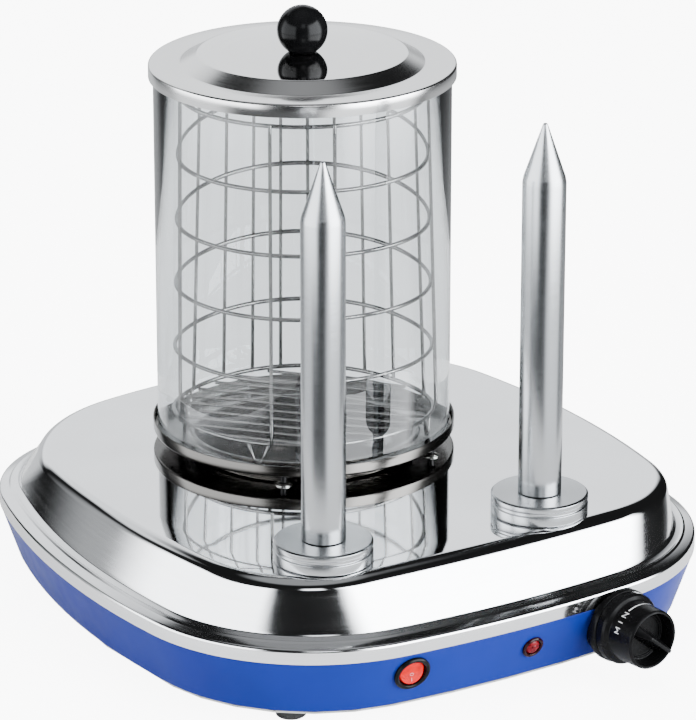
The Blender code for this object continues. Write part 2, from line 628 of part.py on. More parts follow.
def build_thermostat(frame, slope_frame):
    """Thermostat behind the wall, wedge-backed dial plate, shaft and knob, all on one axis."""
    case = place("thermostat_body", block_mesh("thermostat_body", (0.034, 0.028, 0.022), (0.0, 0.0, -0.0285)),
                 NYLON, frame, smooth=False)
    bush = cutter("thermostat_bush", rod_mesh("thermostat_bush", 0.0050, -0.0185, -0.0010), frame)
    combine(case, bush, "UNION")
    combine(case, cutter("shaft_bore", rod_mesh("shaft_bore", 0.0033, -0.0300, 0.0050), frame))
    shaft = ((0.0, 0.0190), (0.0030, 0.0190), (0.0030, -0.0290), (0.0, -0.0290))
    turned("thermostat_shaft", shaft, ZINC, 14, parent=frame)

    bore = 0.0056
    bezel = ((bore, 0.0058), (0.0235, 0.0058), (0.0240, 0.0052), (0.0241, GAP), (0.0205, GAP),
             (0.0205, -0.0200), (bore, -0.0200))
    dial_plate = turned("thermostat_bezel", bezel, BLACK, 28, parent=frame)
    wall_side = block_mesh("wall_side", (0.090, 0.090, 0.040), (0.0, 0.0, -0.0192))
    combine(dial_plate, cutter("wall_side", wall_side, slope_frame))
    seat_to_lip = frame.matrix_local.translation.z - LIP_Z
    lip_side = block_mesh("lip_side", (0.090, 0.040, 0.040), (0.0, 0.020 - seat_to_lip - 0.0006, -0.020 + GAP))
    combine(dial_plate, cutter("lip_side", lip_side, frame))

    knob = ((0.0, 0.0240), (0.0162, 0.0240), (0.0172, 0.0338), (0.0181, 0.0345), (0.0194, 0.0336),
            (0.0200, 0.0136), (0.0226, 0.0128), (0.0233, 0.0118), (0.0235, 0.0066), (0.0231, 0.0062),
            (0.0033, 0.0062), (0.0033, 0.0195), (0.0, 0.0195))
    dial = turned("thermostat_knob", knob, BLACK, 28, parent=frame)
    grip = roof_mesh("knob_grip", (-0.0150, 0.0166, 0.0047, 0.0225), (-0.0022, 0.0176, 0.0011, 0.0352))
    combine(dial, cutter("knob_grip", grip, frame, rotation=(0.0, 0.0, GRIP_TURN)), "UNION")


# ---------------------------------------------------------------- wiring

def build_gland(frame, slope_frame):
    """Cable gland in the rear wall on a wedge-backed boss, held by a nut inside; its bore is empty."""
    bore = 0.0037
    outer = ((bore, 0.0190), (0.0062, 0.0185), (0.0080, 0.0132), (0.0098, 0.0125), (0.0098, -0.0060),
             (bore, -0.0060))
    gland = turned("cable_gland", outer, BLACK, 16, parent=frame)
    wall_side = block_mesh("gland_wall_side", (0.060, 0.060, 0.030), (0.0, 0.0, -0.0150 + GAP))
    combine(gland, cutter("gland_wall_side", wall_side, slope_frame))
    barrel = turned("gland_barrel", ((0.0036, 0.0080), (0.0061, 0.0080), (0.0061, -0.0170), (0.0036, -0.0170)),
                    None, 16, parent=frame)
    CUTTERS.objects.link(barrel)
    PARTS.objects.unlink(barrel)
    barrel.hide_render = True
    barrel.display_type = "WIRE"
    combine(gland, barrel, "UNION")
    nut = ((0.0076, -0.0066), (0.0112, -0.0066), (0.0112, -0.0115), (0.0076, -0.0115))
    turned("gland_nut", nut, BLACK, 6, parent=frame)


def build_terminals():
    low = PLATE_TOP_Z + GAP
    block = place("terminal_block", block_mesh("terminal_block", (0.036, 0.020, 0.013),
                                               (-0.060, 0.100, low + 0.0065)), NYLON, smooth=False)
    bevel(block, 0.0012)
    earth = ((0.0, -0.0740), (0.0019, -0.0740), (0.0019, -0.0800), (0.0042, -0.0800), (0.0042, -0.0828),
             (0.0019, -0.0828), (0.0019, PLATE_BOTTOM_Z - 0.0010), (0.0, PLATE_BOTTOM_Z - 0.0010))
    turned("earth_stud", earth, BRASS, 10, location=(0.020, 0.110, 0.0))


def build_wires():
    """Sleeved wires from the terminal block to the controls and on to the heaters."""
    routes = {
        "wire_supply_switch": ((-0.078, 0.088, -0.076), (-0.100, 0.060, -0.081), (-0.125, -0.040, -0.081),
                               (-0.112, -0.150, -0.079), (-0.088, -0.200, -0.066), (-0.079, -0.2225, -0.0545)),
        "wire_switch_thermostat": ((-0.072, -0.222, -0.0530), (-0.040, -0.205, -0.060), (0.000, -0.195, -0.066),
                                   (0.040, -0.200, -0.066), (0.066, -0.2085, -0.0640)),
        "wire_thermostat_pan_heater": ((0.078, -0.2080, -0.0600), (0.086, -0.170, -0.060), (0.092, -0.100, -0.056),
                                       (0.082, -0.050, -0.048), (0.0735, -0.0285, -0.0435)),
        "wire_spike_left": ((-0.086, 0.088, -0.0800), (-0.112, 0.040, -0.076), (-0.118, -0.080, -0.066),
                            (-0.108, -0.165, -0.045), (-0.1043, -0.1898, -0.0205)),
        "wire_spike_right": ((-0.044, 0.088, -0.0790), (0.000, 0.040, -0.076), (0.070, -0.060, -0.074),
                             (0.062, -0.160, -0.045), (0.0540, -0.1958, -0.0205))}
    for name, points in routes.items():
        place(name, wire_mesh(name, smooth_route(points, 3), 0.0013, 1), SLEEVE)


def smooth_route(points, pieces):
    """Catmull-Rom points through a route."""
    knots = [Vector(p) for p in points]
    knots = [2 * knots[0] - knots[1]] + knots + [2 * knots[-1] - knots[-2]]
    result = []
    for a, b, c, d in zip(knots, knots[1:], knots[2:], knots[3:]):
        for step in range(pieces):
            t = step / pieces
            result.append(0.5 * (2 * b + (c - a) * t + (2 * a - 5 * b + 4 * c - d) * t ** 2
                                 + (3 * b - a - 3 * c + d) * t ** 3))
    return result + [knots[-2]]


def build_all():
    switch_frame = wall_frame("switch_frame", *SWITCH_PLACE)
    lamp_frame = wall_frame("lamp_frame", *LAMP_PLACE)
    knob_slope_frame = wall_frame("knob_slope_frame", *KNOB_PLACE)
    knob_frame = wall_frame("knob_frame", *KNOB_PLACE, slope=0.0, y=KNOB_SEAT_Y)
    gland_slope_frame = wall_frame("gland_slope_frame", *GLAND_PLACE, rear=True)
    gland_frame = wall_frame("gland_frame", *GLAND_PLACE, slope=0.0, rear=True)
    build_body(((switch_frame, 0.0102), (lamp_frame, 0.0061), (knob_slope_frame, 0.0075),
                (gland_slope_frame, 0.0070)))
    build_bottom_plate()
    build_cover()
    build_feet()
    build_pan()
    build_pan_heater()
    build_glass()
    build_lid()
    build_basket()
    build_spikes()
    build_switch(switch_frame)
    build_lamp(lamp_frame)
    build_thermostat(knob_frame, knob_slope_frame)
    build_gland(gland_frame, gland_slope_frame)
    build_terminals()
    build_wires()


build_all()
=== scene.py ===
import json
from math import asin, atan2, cos, pi, radians, sin, sqrt

import bmesh
import bpy
from mathutils import Matrix, Vector


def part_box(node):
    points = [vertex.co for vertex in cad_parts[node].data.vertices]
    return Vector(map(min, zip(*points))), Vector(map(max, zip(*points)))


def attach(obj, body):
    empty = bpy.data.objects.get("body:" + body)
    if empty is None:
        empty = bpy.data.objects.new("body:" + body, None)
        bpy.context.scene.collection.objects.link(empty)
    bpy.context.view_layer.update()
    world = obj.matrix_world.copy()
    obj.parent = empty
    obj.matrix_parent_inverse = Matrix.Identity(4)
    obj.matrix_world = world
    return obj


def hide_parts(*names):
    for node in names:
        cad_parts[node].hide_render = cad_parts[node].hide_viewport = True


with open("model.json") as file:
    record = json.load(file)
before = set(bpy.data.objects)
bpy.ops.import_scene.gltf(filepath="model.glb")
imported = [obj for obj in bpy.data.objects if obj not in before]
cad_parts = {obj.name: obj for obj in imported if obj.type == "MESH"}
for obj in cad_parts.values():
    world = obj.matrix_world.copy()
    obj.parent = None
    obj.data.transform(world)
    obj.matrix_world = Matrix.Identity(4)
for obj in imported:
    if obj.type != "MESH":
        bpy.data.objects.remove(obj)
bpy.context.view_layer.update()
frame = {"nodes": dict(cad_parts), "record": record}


# ---------------------------------------------------------------- places taken from the frame

def centre_of(node):
    low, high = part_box(node)
    return tuple((a + b) / 2.0 for a, b in zip(low, high))


def top_of(node):
    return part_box(node)[1][2]


def bottom_of(node):
    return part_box(node)[0][2]


AXIS_Y = centre_of("glass_cylinder")[1]
PLATFORM = top_of("top_cover")
ON_AXIS = (0.0, AXIS_Y, PLATFORM)
SEAT_GAP = 0.0003


# ---------------------------------------------------------------- mesh helpers

def place(name, mesh, finish, location=(0.0, 0.0, 0.0), matrix=None, sharp=35.0):
    """Puts a mesh in the scene, at a location or at a full matrix."""
    item = bpy.data.objects.new(name, mesh)
    bpy.context.scene.collection.objects.link(item)
    if matrix is not None:
        item.matrix_world = matrix
    else:
        item.location = location
    resurface(item, finish, sharp)
    return item


def resurface(item, finish, sharp):
    """One material all over, with smooth faces and edges kept sharp above an angle in degrees."""
    item.data.materials.clear()
    item.data.materials.append(finish)
    item.data.shade_smooth()
    item.data.set_sharp_from_angle(angle=radians(sharp))


def finish_mesh(name, shape):
    """Mesh from a bmesh, with its faces turned outwards."""
    bmesh.ops.recalc_face_normals(shape, faces=shape.faces)
    mesh = bpy.data.meshes.new(name)
    shape.to_mesh(mesh)
    shape.free()
    return mesh


def circle(radius, count):
    return [(radius * cos(2.0 * pi * i / count), radius * sin(2.0 * pi * i / count)) for i in range(count)]


def rounded(points, steps=5):
    """(radius, height, fillet) corners become a polyline with arcs of that fillet radius."""
    result = [Vector(points[0][:2])]
    for before, corner, after in zip(points, points[1:], points[2:]):
        here = Vector(corner[:2])
        fillet = corner[2] if len(corner) > 2 else 0.0
        into = Vector(before[:2]) - here
        out = Vector(after[:2]) - here
        if fillet <= 0.0 or into.length < 1e-7 or out.length < 1e-7:
            result.append(here)
            continue
        reach_limit = 0.49 * min(into.length, out.length)
        into.normalize()
        out.normalize()
        half = into.angle(out) / 2.0
        if abs(half - pi / 2.0) < 0.01:
            result.append(here)
            continue
        reach = min(fillet * cos(half) / sin(half), reach_limit)
        radius = reach * sin(half) / cos(half)
        bisector = (into + out).normalized()
        middle = here + bisector * (radius / sin(half))
        start = here + into * reach - middle
        end = here + out * reach - middle
        turn = start.angle_signed(end)
        for step in range(steps + 1):
            angle = -turn * step / steps
            result.append(middle + Vector((start.x * cos(angle) - start.y * sin(angle),
                                           start.x * sin(angle) + start.y * cos(angle))))
    result.append(Vector(points[-1][:2]))
    return [(point.x, point.y) for point in result]


def lathe_mesh(name, profile, segments=96, closed=False):
    """A turned mesh about Z; points on the axis become one vertex each."""
    shape = bmesh.new()
    rows = []
    for radius, height in profile:
        if radius < 1e-6:
            rows.append([shape.verts.new((0.0, 0.0, height))])
            continue
        rows.append([shape.verts.new((x, y, height)) for x, y in circle(radius, segments)])
    pairs = list(zip(rows, rows[1:])) + ([(rows[-1], rows[0])] if closed else [])
    for first, second in pairs:
        for i in range(segments):
            j = (i + 1) % segments
            corners = [first[i % len(first)], second[i % len(second)],
                       second[j % len(second)], first[j % len(first)]]
            unique = list(dict.fromkeys(corners))
            if len(unique) > 2:
                shape.faces.new(unique)
    return finish_mesh(name, shape)


def turned(name, corners, finish, location=(0.0, 0.0, 0.0), segments=96, closed=False, matrix=None,
           sharp=35.0):
    """Turned piece from (radius, height, fillet) corners; a closed section has a bore through it."""
    if closed:
        start = tuple((a + b) / 2.0 for a, b in zip(corners[0][:2], corners[-1][:2]))
        profile = rounded([start] + list(corners) + [start])[:-1]
    else:
        profile = rounded(corners)
    return place(name, lathe_mesh(name, profile, segments, closed), finish, location, matrix, sharp)


def tube_mesh(name, points, radius, sides=10, closed=False):
    """Round wire along points, with parallel-carried rings and rounded ends."""
    path = [Vector(point) for point in points]
    count = len(path)
    shape = bmesh.new()
    rows = []
    normal = None
    for i in range(count):
        if closed:
            along = (path[(i + 1) % count] - path[i - 1]).normalized()
        else:
            along = (path[min(i + 1, count - 1)] - path[max(i - 1, 0)]).normalized()
        if normal is None:
            helper = Vector((0.0, 0.0, 1.0)) if abs(along.z) < 0.9 else Vector((1.0, 0.0, 0.0))
            normal = along.cross(helper).normalized()
        normal = (normal - along * normal.dot(along)).normalized()
        side = along.cross(normal)
        rows.append([shape.verts.new(path[i] + radius * (cos(2.0 * pi * k / sides) * normal
                                                         + sin(2.0 * pi * k / sides) * side))
                     for k in range(sides)])
    for first, second in list(zip(rows, rows[1:])) + ([(rows[-1], rows[0])] if closed else []):
        for k in range(sides):
            n = (k + 1) % sides
            shape.faces.new((first[k], first[n], second[n], second[k]))
    if not closed:
        for row, end, neighbour in ((rows[0], path[0], path[1]), (rows[-1], path[-1], path[-2])):
            out = (end - neighbour).normalized()
            tip = shape.verts.new(end + out * radius * 0.6)
            inner = [shape.verts.new(end + (vert.co - end) * 0.7 + out * radius * 0.42) for vert in row]
            for k in range(sides):
                n = (k + 1) % sides
                shape.faces.new((row[k], row[n], inner[n], inner[k]))
                shape.faces.new((inner[k], inner[n], tip))
    return finish_mesh(name, shape)


def join_meshes(name, meshes):
    """One mesh out of several, which are used up."""
    shape = bmesh.new()
    for mesh in meshes:
        shape.from_mesh(mesh)
        bpy.data.meshes.remove(mesh)
    result = bpy.data.meshes.new(name)
    shape.to_mesh(result)
    shape.free()
    return result


def outline(shape, front_y, inset, steps):
    """Tangent-arc outline of the base, from the middle of the front round by +X."""
    radii = [radius - inset for radius in shape[0::2]]
    angles = shape[1::2]
    x, y, heading = 0.0, front_y + inset, 0.0
    half = [(x, y)]
    for radius, angle, count in zip(radii, angles, steps):
        centre = (x - radius * sin(heading), y + radius * cos(heading))
        for step in range(1, count + 1):
            turn = heading + angle * step / count
            half.append((centre[0] + radius * sin(turn), centre[1] - radius * cos(turn)))
        heading += angle
        x, y = half[-1]
    rear_radius = x / sin(pi - heading)
    rear = (0.0, y + rear_radius * cos(heading))
    for step in range(1, steps[4] + 1):
        turn = heading + (pi - heading) * step / steps[4]
        half.append((rear[0] + rear_radius * sin(turn), rear[1] - rear_radius * cos(turn)))
    return half + [(-px, py) for px, py in reversed(half[1:-1])]


def loft_mesh(name, rings, cap_first=False, cap_last=False):
    """Skin through rings of (outline, height), each joined to the next."""
    shape = bmesh.new()
    rows = [[shape.verts.new((x, y, z)) for x, y in points] for points, z in rings]
    for upper, lower in zip(rows, rows[1:]):
        for i in range(len(upper)):
            j = (i + 1) % len(upper)
            shape.faces.new((lower[i], lower[j], upper[j], upper[i]))
    if cap_first:
        shape.faces.new(rows[0])
    if cap_last:
        shape.faces.new(list(reversed(rows[-1])))
    return finish_mesh(name, shape)


def cut(item, mesh, matrix):
    """Cuts a hole and applies it, so no cutter stays in the scene."""
    tool = bpy.data.objects.new("hole", mesh)
    bpy.context.scene.collection.objects.link(tool)
    tool.matrix_world = matrix
    change = item.modifiers.new("hole", "BOOLEAN")
    change.operation = "DIFFERENCE"
    change.solver = "EXACT"
    change.object = tool
    bpy.context.view_layer.update()
    graph = bpy.context.evaluated_depsgraph_get()
    result = bpy.data.meshes.new_from_object(item.evaluated_get(graph))
    item.modifiers.clear()
    item.data = result
    bpy.data.objects.remove(tool, do_unlink=True)


# ---------------------------------------------------------------- material helpers

class Graph:
    """The node tree of a material or a world, with sums made of nodes."""

    def __init__(self, owner):
        owner.use_nodes = True
        self.nodes = owner.node_tree.nodes
        self.links = owner.node_tree.links

    def math(self, operation, first, second=None):
        """One operation; its inputs are numbers or sockets, and the second may be left out."""
        node = self.nodes.new("ShaderNodeMath")
        node.operation = operation
        for socket, value in zip(node.inputs, (first, second)):
            if isinstance(value, (int, float)):
                socket.default_value = value
            elif value is not None:
                self.links.new(value, socket)
        return node.outputs["Value"]

    def split(self, vector):
        """The three components of a vector, as sockets."""
        node = self.nodes.new("ShaderNodeSeparateXYZ")
        self.links.new(vector, node.inputs["Vector"])
        return node.outputs["X"], node.outputs["Y"], node.outputs["Z"]


class Look(Graph):
    """A Principled material with shortcuts for its node tree; patterns use object coordinates."""

    def __init__(self, name, color, roughness, metallic=0.0):
        self.material = bpy.data.materials.new(name)
        super().__init__(self.material)
        self.shader = self.nodes["Principled BSDF"]
        self.shader.inputs["Base Color"].default_value = (*color, 1.0)
        self.shader.inputs["Roughness"].default_value = roughness
        self.shader.inputs["Metallic"].default_value = metallic
        self.color = color
        self.coords = self.nodes.new("ShaderNodeTexCoord")

    def set(self, **values):
        for key, value in values.items():
            self.shader.inputs[key.replace("_", " ")].default_value = value
        return self

    def scaled(self, scale):
        mapping = self.nodes.new("ShaderNodeMapping")
        mapping.inputs["Scale"].default_value = scale
        self.links.new(self.coords.outputs["Object"], mapping.inputs["Vector"])
        return mapping.outputs["Vector"]

    def noise(self, scale=(1.0, 1.0, 1.0), size=100.0, detail=3.0, vector=None):
        node = self.nodes.new("ShaderNodeTexNoise")
        node.inputs["Scale"].default_value = size
        node.inputs["Detail"].default_value = detail
        self.links.new(vector or self.scaled(scale), node.inputs["Vector"])
        return node.outputs["Fac"]

    def polar(self):
        """Radius, angle and height about the piece's vertical axis, as three sockets."""
        x, y, z = self.split(self.coords.outputs["Object"])
        squares = self.math("ADD", self.math("MULTIPLY", x, x), self.math("MULTIPLY", y, y))
        return self.math("SQRT", squares), self.math("ARCTAN2", y, x), z

    def vector(self, x, y, z):
        node = self.nodes.new("ShaderNodeCombineXYZ")
        for socket, value in zip(node.inputs, (x, y, z)):
            self.links.new(value, socket)
        return node.outputs["Vector"]

    def spread(self, factor, low, high, from_low=0.3, from_high=0.7):
        node = self.nodes.new("ShaderNodeMapRange")
        node.inputs["From Min"].default_value = from_low
        node.inputs["From Max"].default_value = from_high
        node.inputs["To Min"].default_value = low
        node.inputs["To Max"].default_value = high
        self.links.new(factor, node.inputs["Value"])
        return node.outputs["Result"]

    def roughness(self, factor, low, high):
        self.links.new(self.spread(factor, low, high), self.shader.inputs["Roughness"])
        return self

    def tint(self, factor, dark, light):
        ramp = self.nodes.new("ShaderNodeValToRGB")
        ramp.color_ramp.elements[0].color = (*[c * dark for c in self.color], 1.0)
        ramp.color_ramp.elements[1].color = (*[min(c * light, 1.0) for c in self.color], 1.0)
        ramp.color_ramp.elements[0].position = 0.3
        ramp.color_ramp.elements[1].position = 0.7
        self.links.new(factor, ramp.inputs["Fac"])
        self.links.new(ramp.outputs["Color"], self.shader.inputs["Base Color"])
        return self

    def bump(self, factor, distance, strength=1.0):
        node = self.nodes.new("ShaderNodeBump")
        node.inputs["Distance"].default_value = distance
        node.inputs["Strength"].default_value = strength
        self.links.new(factor, node.inputs["Height"])
        self.links.new(node.outputs["Normal"], self.shader.inputs["Normal"])
        return self


def polished_steel():
    """A mirror on the level top; satin, with long streaks, on the pressed walls and rim below it."""
    look = Look("polished_steel_look", (0.86, 0.86, 0.865), 0.05, 1.0)
    height = look.split(look.coords.outputs["Object"])[2]
    wall = look.spread(height, 1.0, 0.0, PLATFORM - 0.010, PLATFORM - 0.0010)
    streaks = look.spread(look.noise((1.0, 1.0, 60.0), 14.0, 4.0), 0.09, 0.13)
    smear = look.spread(look.noise(size=26.0, detail=4.0), 0.025, 0.05)
    blend = look.math("ADD", look.math("MULTIPLY", wall, streaks),
                      look.math("MULTIPLY", look.math("SUBTRACT", 1.0, wall), smear))
    look.links.new(blend, look.shader.inputs["Roughness"])
    look.tint(look.noise((1.0, 1.0, 30.0), 20.0, 3.0), 0.96, 1.02)
    ripple = look.noise(size=14.0, detail=1.0)
    return look.bump(ripple, 0.00002, 0.25).material


def turned_steel(name, color, low, high, depth=0.000001, pitch=1800.0, mirror=0.0):
    """Steel with fine circular brushing round a vertical axis; inside the mirror radius it is polished."""
    look = Look(name, color, low, 1.0)
    radius, angle, height = look.polar()
    lines = look.noise(size=1.0, detail=3.0, vector=look.vector(
        look.math("MULTIPLY", radius, pitch), look.math("MULTIPLY", angle, 1.5),
        look.math("MULTIPLY", height, pitch)))
    satin = look.spread(lines, low, high)
    if mirror > 0.0:
        blend_width = 0.0006
        outside = look.spread(radius, 0.0, 1.0, mirror - blend_width, mirror + blend_width)
        satin = look.math("ADD", look.math("MULTIPLY", outside, satin), 0.03)
    look.links.new(satin, look.shader.inputs["Roughness"])
    look.tint(lines, 0.96, 1.03)
    look.set(Anisotropic=0.6)
    tangent = look.nodes.new("ShaderNodeTangent")
    tangent.direction_type = "RADIAL"
    tangent.axis = "Z"
    look.links.new(tangent.outputs["Tangent"], look.shader.inputs["Tangent"])
    return look.bump(lines, depth, 0.5).material


def wire_steel():
    look = Look("wire_steel_look", (0.20, 0.195, 0.19), 0.12, 1.0)
    drawn = look.noise((1.0, 1.0, 0.05), 2400.0, 2.0)
    look.roughness(drawn, 0.08, 0.17)
    return look.tint(look.noise(size=160.0), 0.88, 1.04).material


def blue_enamel():
    look = Look("blue_enamel_look", (0.0085, 0.0225, 0.215), 0.34)
    look.set(Coat_Weight=0.04, Coat_Roughness=0.08, IOR=1.45, Specular_IOR_Level=0.08)
    look.tint(look.noise(size=22.0), 0.95, 1.06)
    return look.roughness(look.noise(size=60.0), 0.28, 0.36).material


def black_plastic(name="black_plastic_look", low=0.12, high=0.22, grain=0.00001, shine=0.12):
    look = Look(name, (0.0030, 0.0030, 0.0032), low)
    look.set(IOR=1.45, Specular_IOR_Level=shine)
    look.tint(look.noise(size=80.0), 0.8, 1.5)
    look.roughness(look.noise(size=140.0), low, high)
    return look.bump(look.noise(size=900.0, detail=2.0), grain, 0.4).material


def clear_glass():
    look = Look("clear_glass_look", (0.93, 0.95, 0.96), 0.0)
    look.set(Transmission_Weight=1.0, IOR=1.45)
    haze = look.noise((1.0, 1.0, 0.3), 30.0, 3.0)
    return look.roughness(haze, 0.0, 0.012).material


def rubber():
    look = Look("black_rubber_look", (0.018, 0.018, 0.018), 0.7)
    look.tint(look.noise(size=90.0), 0.7, 1.8)
    look.roughness(look.noise(size=300.0), 0.6, 0.85)
    return look.bump(look.noise(size=1200.0), 0.00005, 0.7).material


def zinc(name="zinc_look", smooth=0.30):
    look = Look(name, (0.66, 0.66, 0.63), smooth, 1.0)
    look.roughness(look.noise(size=500.0), smooth, smooth * 1.6)
    return look.tint(look.noise(size=60.0), 0.85, 1.1).material


def brass():
    look = Look("brass_look", (0.66, 0.46, 0.19), 0.3, 1.0)
    look.roughness(look.noise(size=500.0), 0.22, 0.4)
    return look.tint(look.noise(size=80.0), 0.8, 1.1).material


def red_plastic():
    """Red rocker with a painted glow: a weak red emission, though the rocker holds no lamp; the lower half
    carries fine ribs across it.
    """
    look = Look("red_plastic_painted_glow_look", (0.58, 0.002, 0.003), 0.16)
    look.set(IOR=1.45, Coat_Weight=0.06, Coat_Roughness=0.04, Specular_IOR_Level=0.10)
    # Painted glow: this emission makes the rocker shine red, though it holds no lamp.
    look.set(Emission_Color=(1.0, 0.010, 0.008, 1.0), Emission_Strength=0.22)
    look.tint(look.noise(size=260.0), 0.7, 1.1)
    look.roughness(look.noise(size=300.0), 0.12, 0.22)
    along = look.split(look.coords.outputs["Object"])[1]
    ribs = look.math("SINE", look.math("MULTIPLY", along, RIB_WAVE))
    lower = look.spread(along, 1.0, 0.0, -0.0014, -0.0006)
    return look.bump(look.math("MULTIPLY", ribs, lower), 0.00016, 0.8).material


def lens_plastic(name="dark_red_lens_look", color=(0.150, 0.004, 0.008)):
    look = Look(name, color, 0.10)
    look.set(IOR=1.45, Coat_Weight=0.05, Coat_Roughness=0.05, Specular_IOR_Level=0.15)
    return look.tint(look.noise(size=420.0), 0.4, 1.6).material


def nylon():
    look = Look("white_nylon_look", (0.74, 0.73, 0.69), 0.5)
    look.tint(look.noise(size=70.0), 0.93, 1.03)
    look.roughness(look.noise(size=500.0), 0.42, 0.6)
    return look.bump(look.noise(size=1500.0), 0.00003, 0.5).material


def sleeve():
    look = Look("wire_sleeve_look", (0.52, 0.47, 0.38), 0.8)
    weave = look.nodes.new("ShaderNodeTexWave")
    weave.inputs["Scale"].default_value = 420.0
    weave.inputs["Distortion"].default_value = 1.5
    look.links.new(look.scaled((1.0, 1.0, 1.0)), weave.inputs["Vector"])
    look.tint(weave.outputs["Fac"], 0.75, 1.1)
    return look.bump(weave.outputs["Fac"], 0.0002, 0.8).material


def print_ink(name="print_white_look", color=(0.85, 0.85, 0.85)):
    look = Look(name, color, 0.5)
    return look.tint(look.noise(size=900.0), 0.9, 1.0).material


RIB_WAVE = 2.0 * pi / 0.0011
STEEL = polished_steel()
LID_STEEL = turned_steel("lid_steel_look", (0.80, 0.79, 0.78), 0.11, 0.17, mirror=0.0684)
# Painted reflection and painted shade: the pan's steel colour is darkened to near black, to stand for the
# dark surroundings it mirrors and the shade it sits in.
SHADED_PAN_STEEL = turned_steel("pan_steel_painted_shade_look", (0.105, 0.100, 0.093), 0.12, 0.20)
ALUMINIUM = turned_steel("turned_aluminium_look", (0.46, 0.47, 0.48), 0.20, 0.27,
                         depth=0.0000015, pitch=2600.0)
WIRE = wire_steel()
ENAMEL = blue_enamel()
BLACK = black_plastic()
KNOB_BLACK = black_plastic("knob_black_look", 0.22, 0.30, 0.00003, 0.12)
GLASS = clear_glass()
RUBBER = rubber()
ZINC = zinc()
ZINC_BRIGHT = zinc("bright_zinc_look", 0.12)
BRASS = brass()
RED_PAINTED_GLOW = red_plastic()
LENS = lens_plastic()
LAMP_BLACK = lens_plastic("lamp_bezel_look", (0.014, 0.001, 0.002))
NYLON = nylon()
SLEEVE = sleeve()
PRINT = print_ink()
PRINT_PINK = print_ink("print_pink_look", (0.80, 0.32, 0.34))


def keep(piece, body, slot, *nodes):
    """Puts a piece on its body and hides the nodes it replaces; the slot is not used (a printed mark has no
    slot).
    """
    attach(piece, body)
    if nodes:
        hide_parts(*nodes)


# ---------------------------------------------------------------- casing

RIM_OUTLINE = (0.840, radians(5.8), 0.128, radians(77.0), 0.565, radians(24.0), 0.110, radians(70.2))
PLATFORM_OUTLINE = (1.620, radians(3.3), 0.079, radians(76.3), 0.580, radians(19.6), 0.112, radians(70.2))
RIM_FRONT = AXIS_Y - 0.2577
PLATFORM_FRONT = AXIS_Y - 0.2270
FINE_STEPS = (8, 22, 12, 20, 6)
LIP_HEIGHT = -0.0475
SPIGOT_HOLE = 0.0084
WELL_HOLE = 0.0740


def platform_ring(inset, height):
    """The platform's outline moved in by an inset, at a height above the platform."""
    return outline(PLATFORM_OUTLINE, PLATFORM_FRONT, inset, FINE_STEPS), PLATFORM + height


def rim_ring(inset, height):
    """The rim's outline moved in by an inset, at a height above the platform."""
    return outline(RIM_OUTLINE, RIM_FRONT, inset, FINE_STEPS), PLATFORM + height


def plug_mesh(name, radius, half_length, segments):
    """Cylinder about Z that cuts a round hole."""
    return lathe_mesh(name, [(0.0, half_length), (radius, half_length), (radius, -half_length),
                             (0.0, -half_length)], segments)


def build_cover():
    """Polished cover: a full fillet at the platform's edge, a straight step, a beaded flange and a lip."""
    shoulder = rounded([(-0.0200, 0.0), (0.0025, 0.0, 0.0105), (0.0092, -0.0160)], 9)[:-1]
    flange = rounded([(-0.0142, -0.0320), (-0.0132, -0.0345, 0.0018), (-0.0094, -0.0355, 0.0006),
                      (-0.0080, -0.0351, 0.0007), (-0.0066, -0.0362, 0.0006), (0.0, -0.0380, 0.0022),
                      (0.0, -0.0474)], 6)
    rings = [platform_ring(-out, height) for out, height in shoulder]
    rings += [rim_ring(-out, height) for out, height in flange]
    rings += [rim_ring(inset, height) for inset, height in (
        (0.0008, -0.0474), (0.0010, -0.0390), (0.0030, -0.0386), (0.0128, -0.0356), (0.0152, -0.0330))]
    rings += [platform_ring(inset, height) for inset, height in (
        (-0.0040, -0.0075), (0.0010, -0.0022), (0.0090, -0.0010))]
    cover = place("cover", loft_mesh("cover", rings, True, True), STEEL)
    cut(cover, plug_mesh("well_hole", WELL_HOLE, 0.01, 96), Matrix.Translation(ON_AXIS))
    for side in ("left", "right"):
        x, y, _ = centre_of("spike_" + side)
        cut(cover, plug_mesh("spike_hole", SPIGOT_HOLE, 0.01, 32), Matrix.Translation((x, y, PLATFORM)))
    resurface(cover, STEEL, 30.0)
    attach(cover, "base")
    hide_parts("top_cover")


WALL_TOP = -0.0482
WALL_TOP_INSET = 0.0005
WALL_RUN = 0.0120
WALL_DROP = 0.0355


def wall_frame(x, z, slope, rear=False, y=None):
    """Matrix on the body wall: Z points out of the wall, Y up it, X along it."""
    inset = WALL_TOP_INSET + (WALL_TOP - z) * WALL_RUN / WALL_DROP
    if rear:
        turn = pi
        wall_y = max(py for _, py in outline(RIM_OUTLINE, RIM_FRONT, inset, FINE_STEPS))
    else:
        radius = RIM_OUTLINE[0] - inset
        turn = asin(x / radius)
        wall_y = RIM_FRONT + inset + radius * (1.0 - cos(turn))
    across = Vector((cos(turn), sin(turn), 0.0))
    outward = Vector((sin(turn) * cos(slope), -cos(turn) * cos(slope), -sin(slope)))
    upward = outward.cross(across)
    origin = (x, wall_y if y is None else y, PLATFORM + z)
    rows = [(across[i], upward[i], outward[i], origin[i]) for i in range(3)]
    return Matrix((*rows, (0.0, 0.0, 0.0, 1.0)))


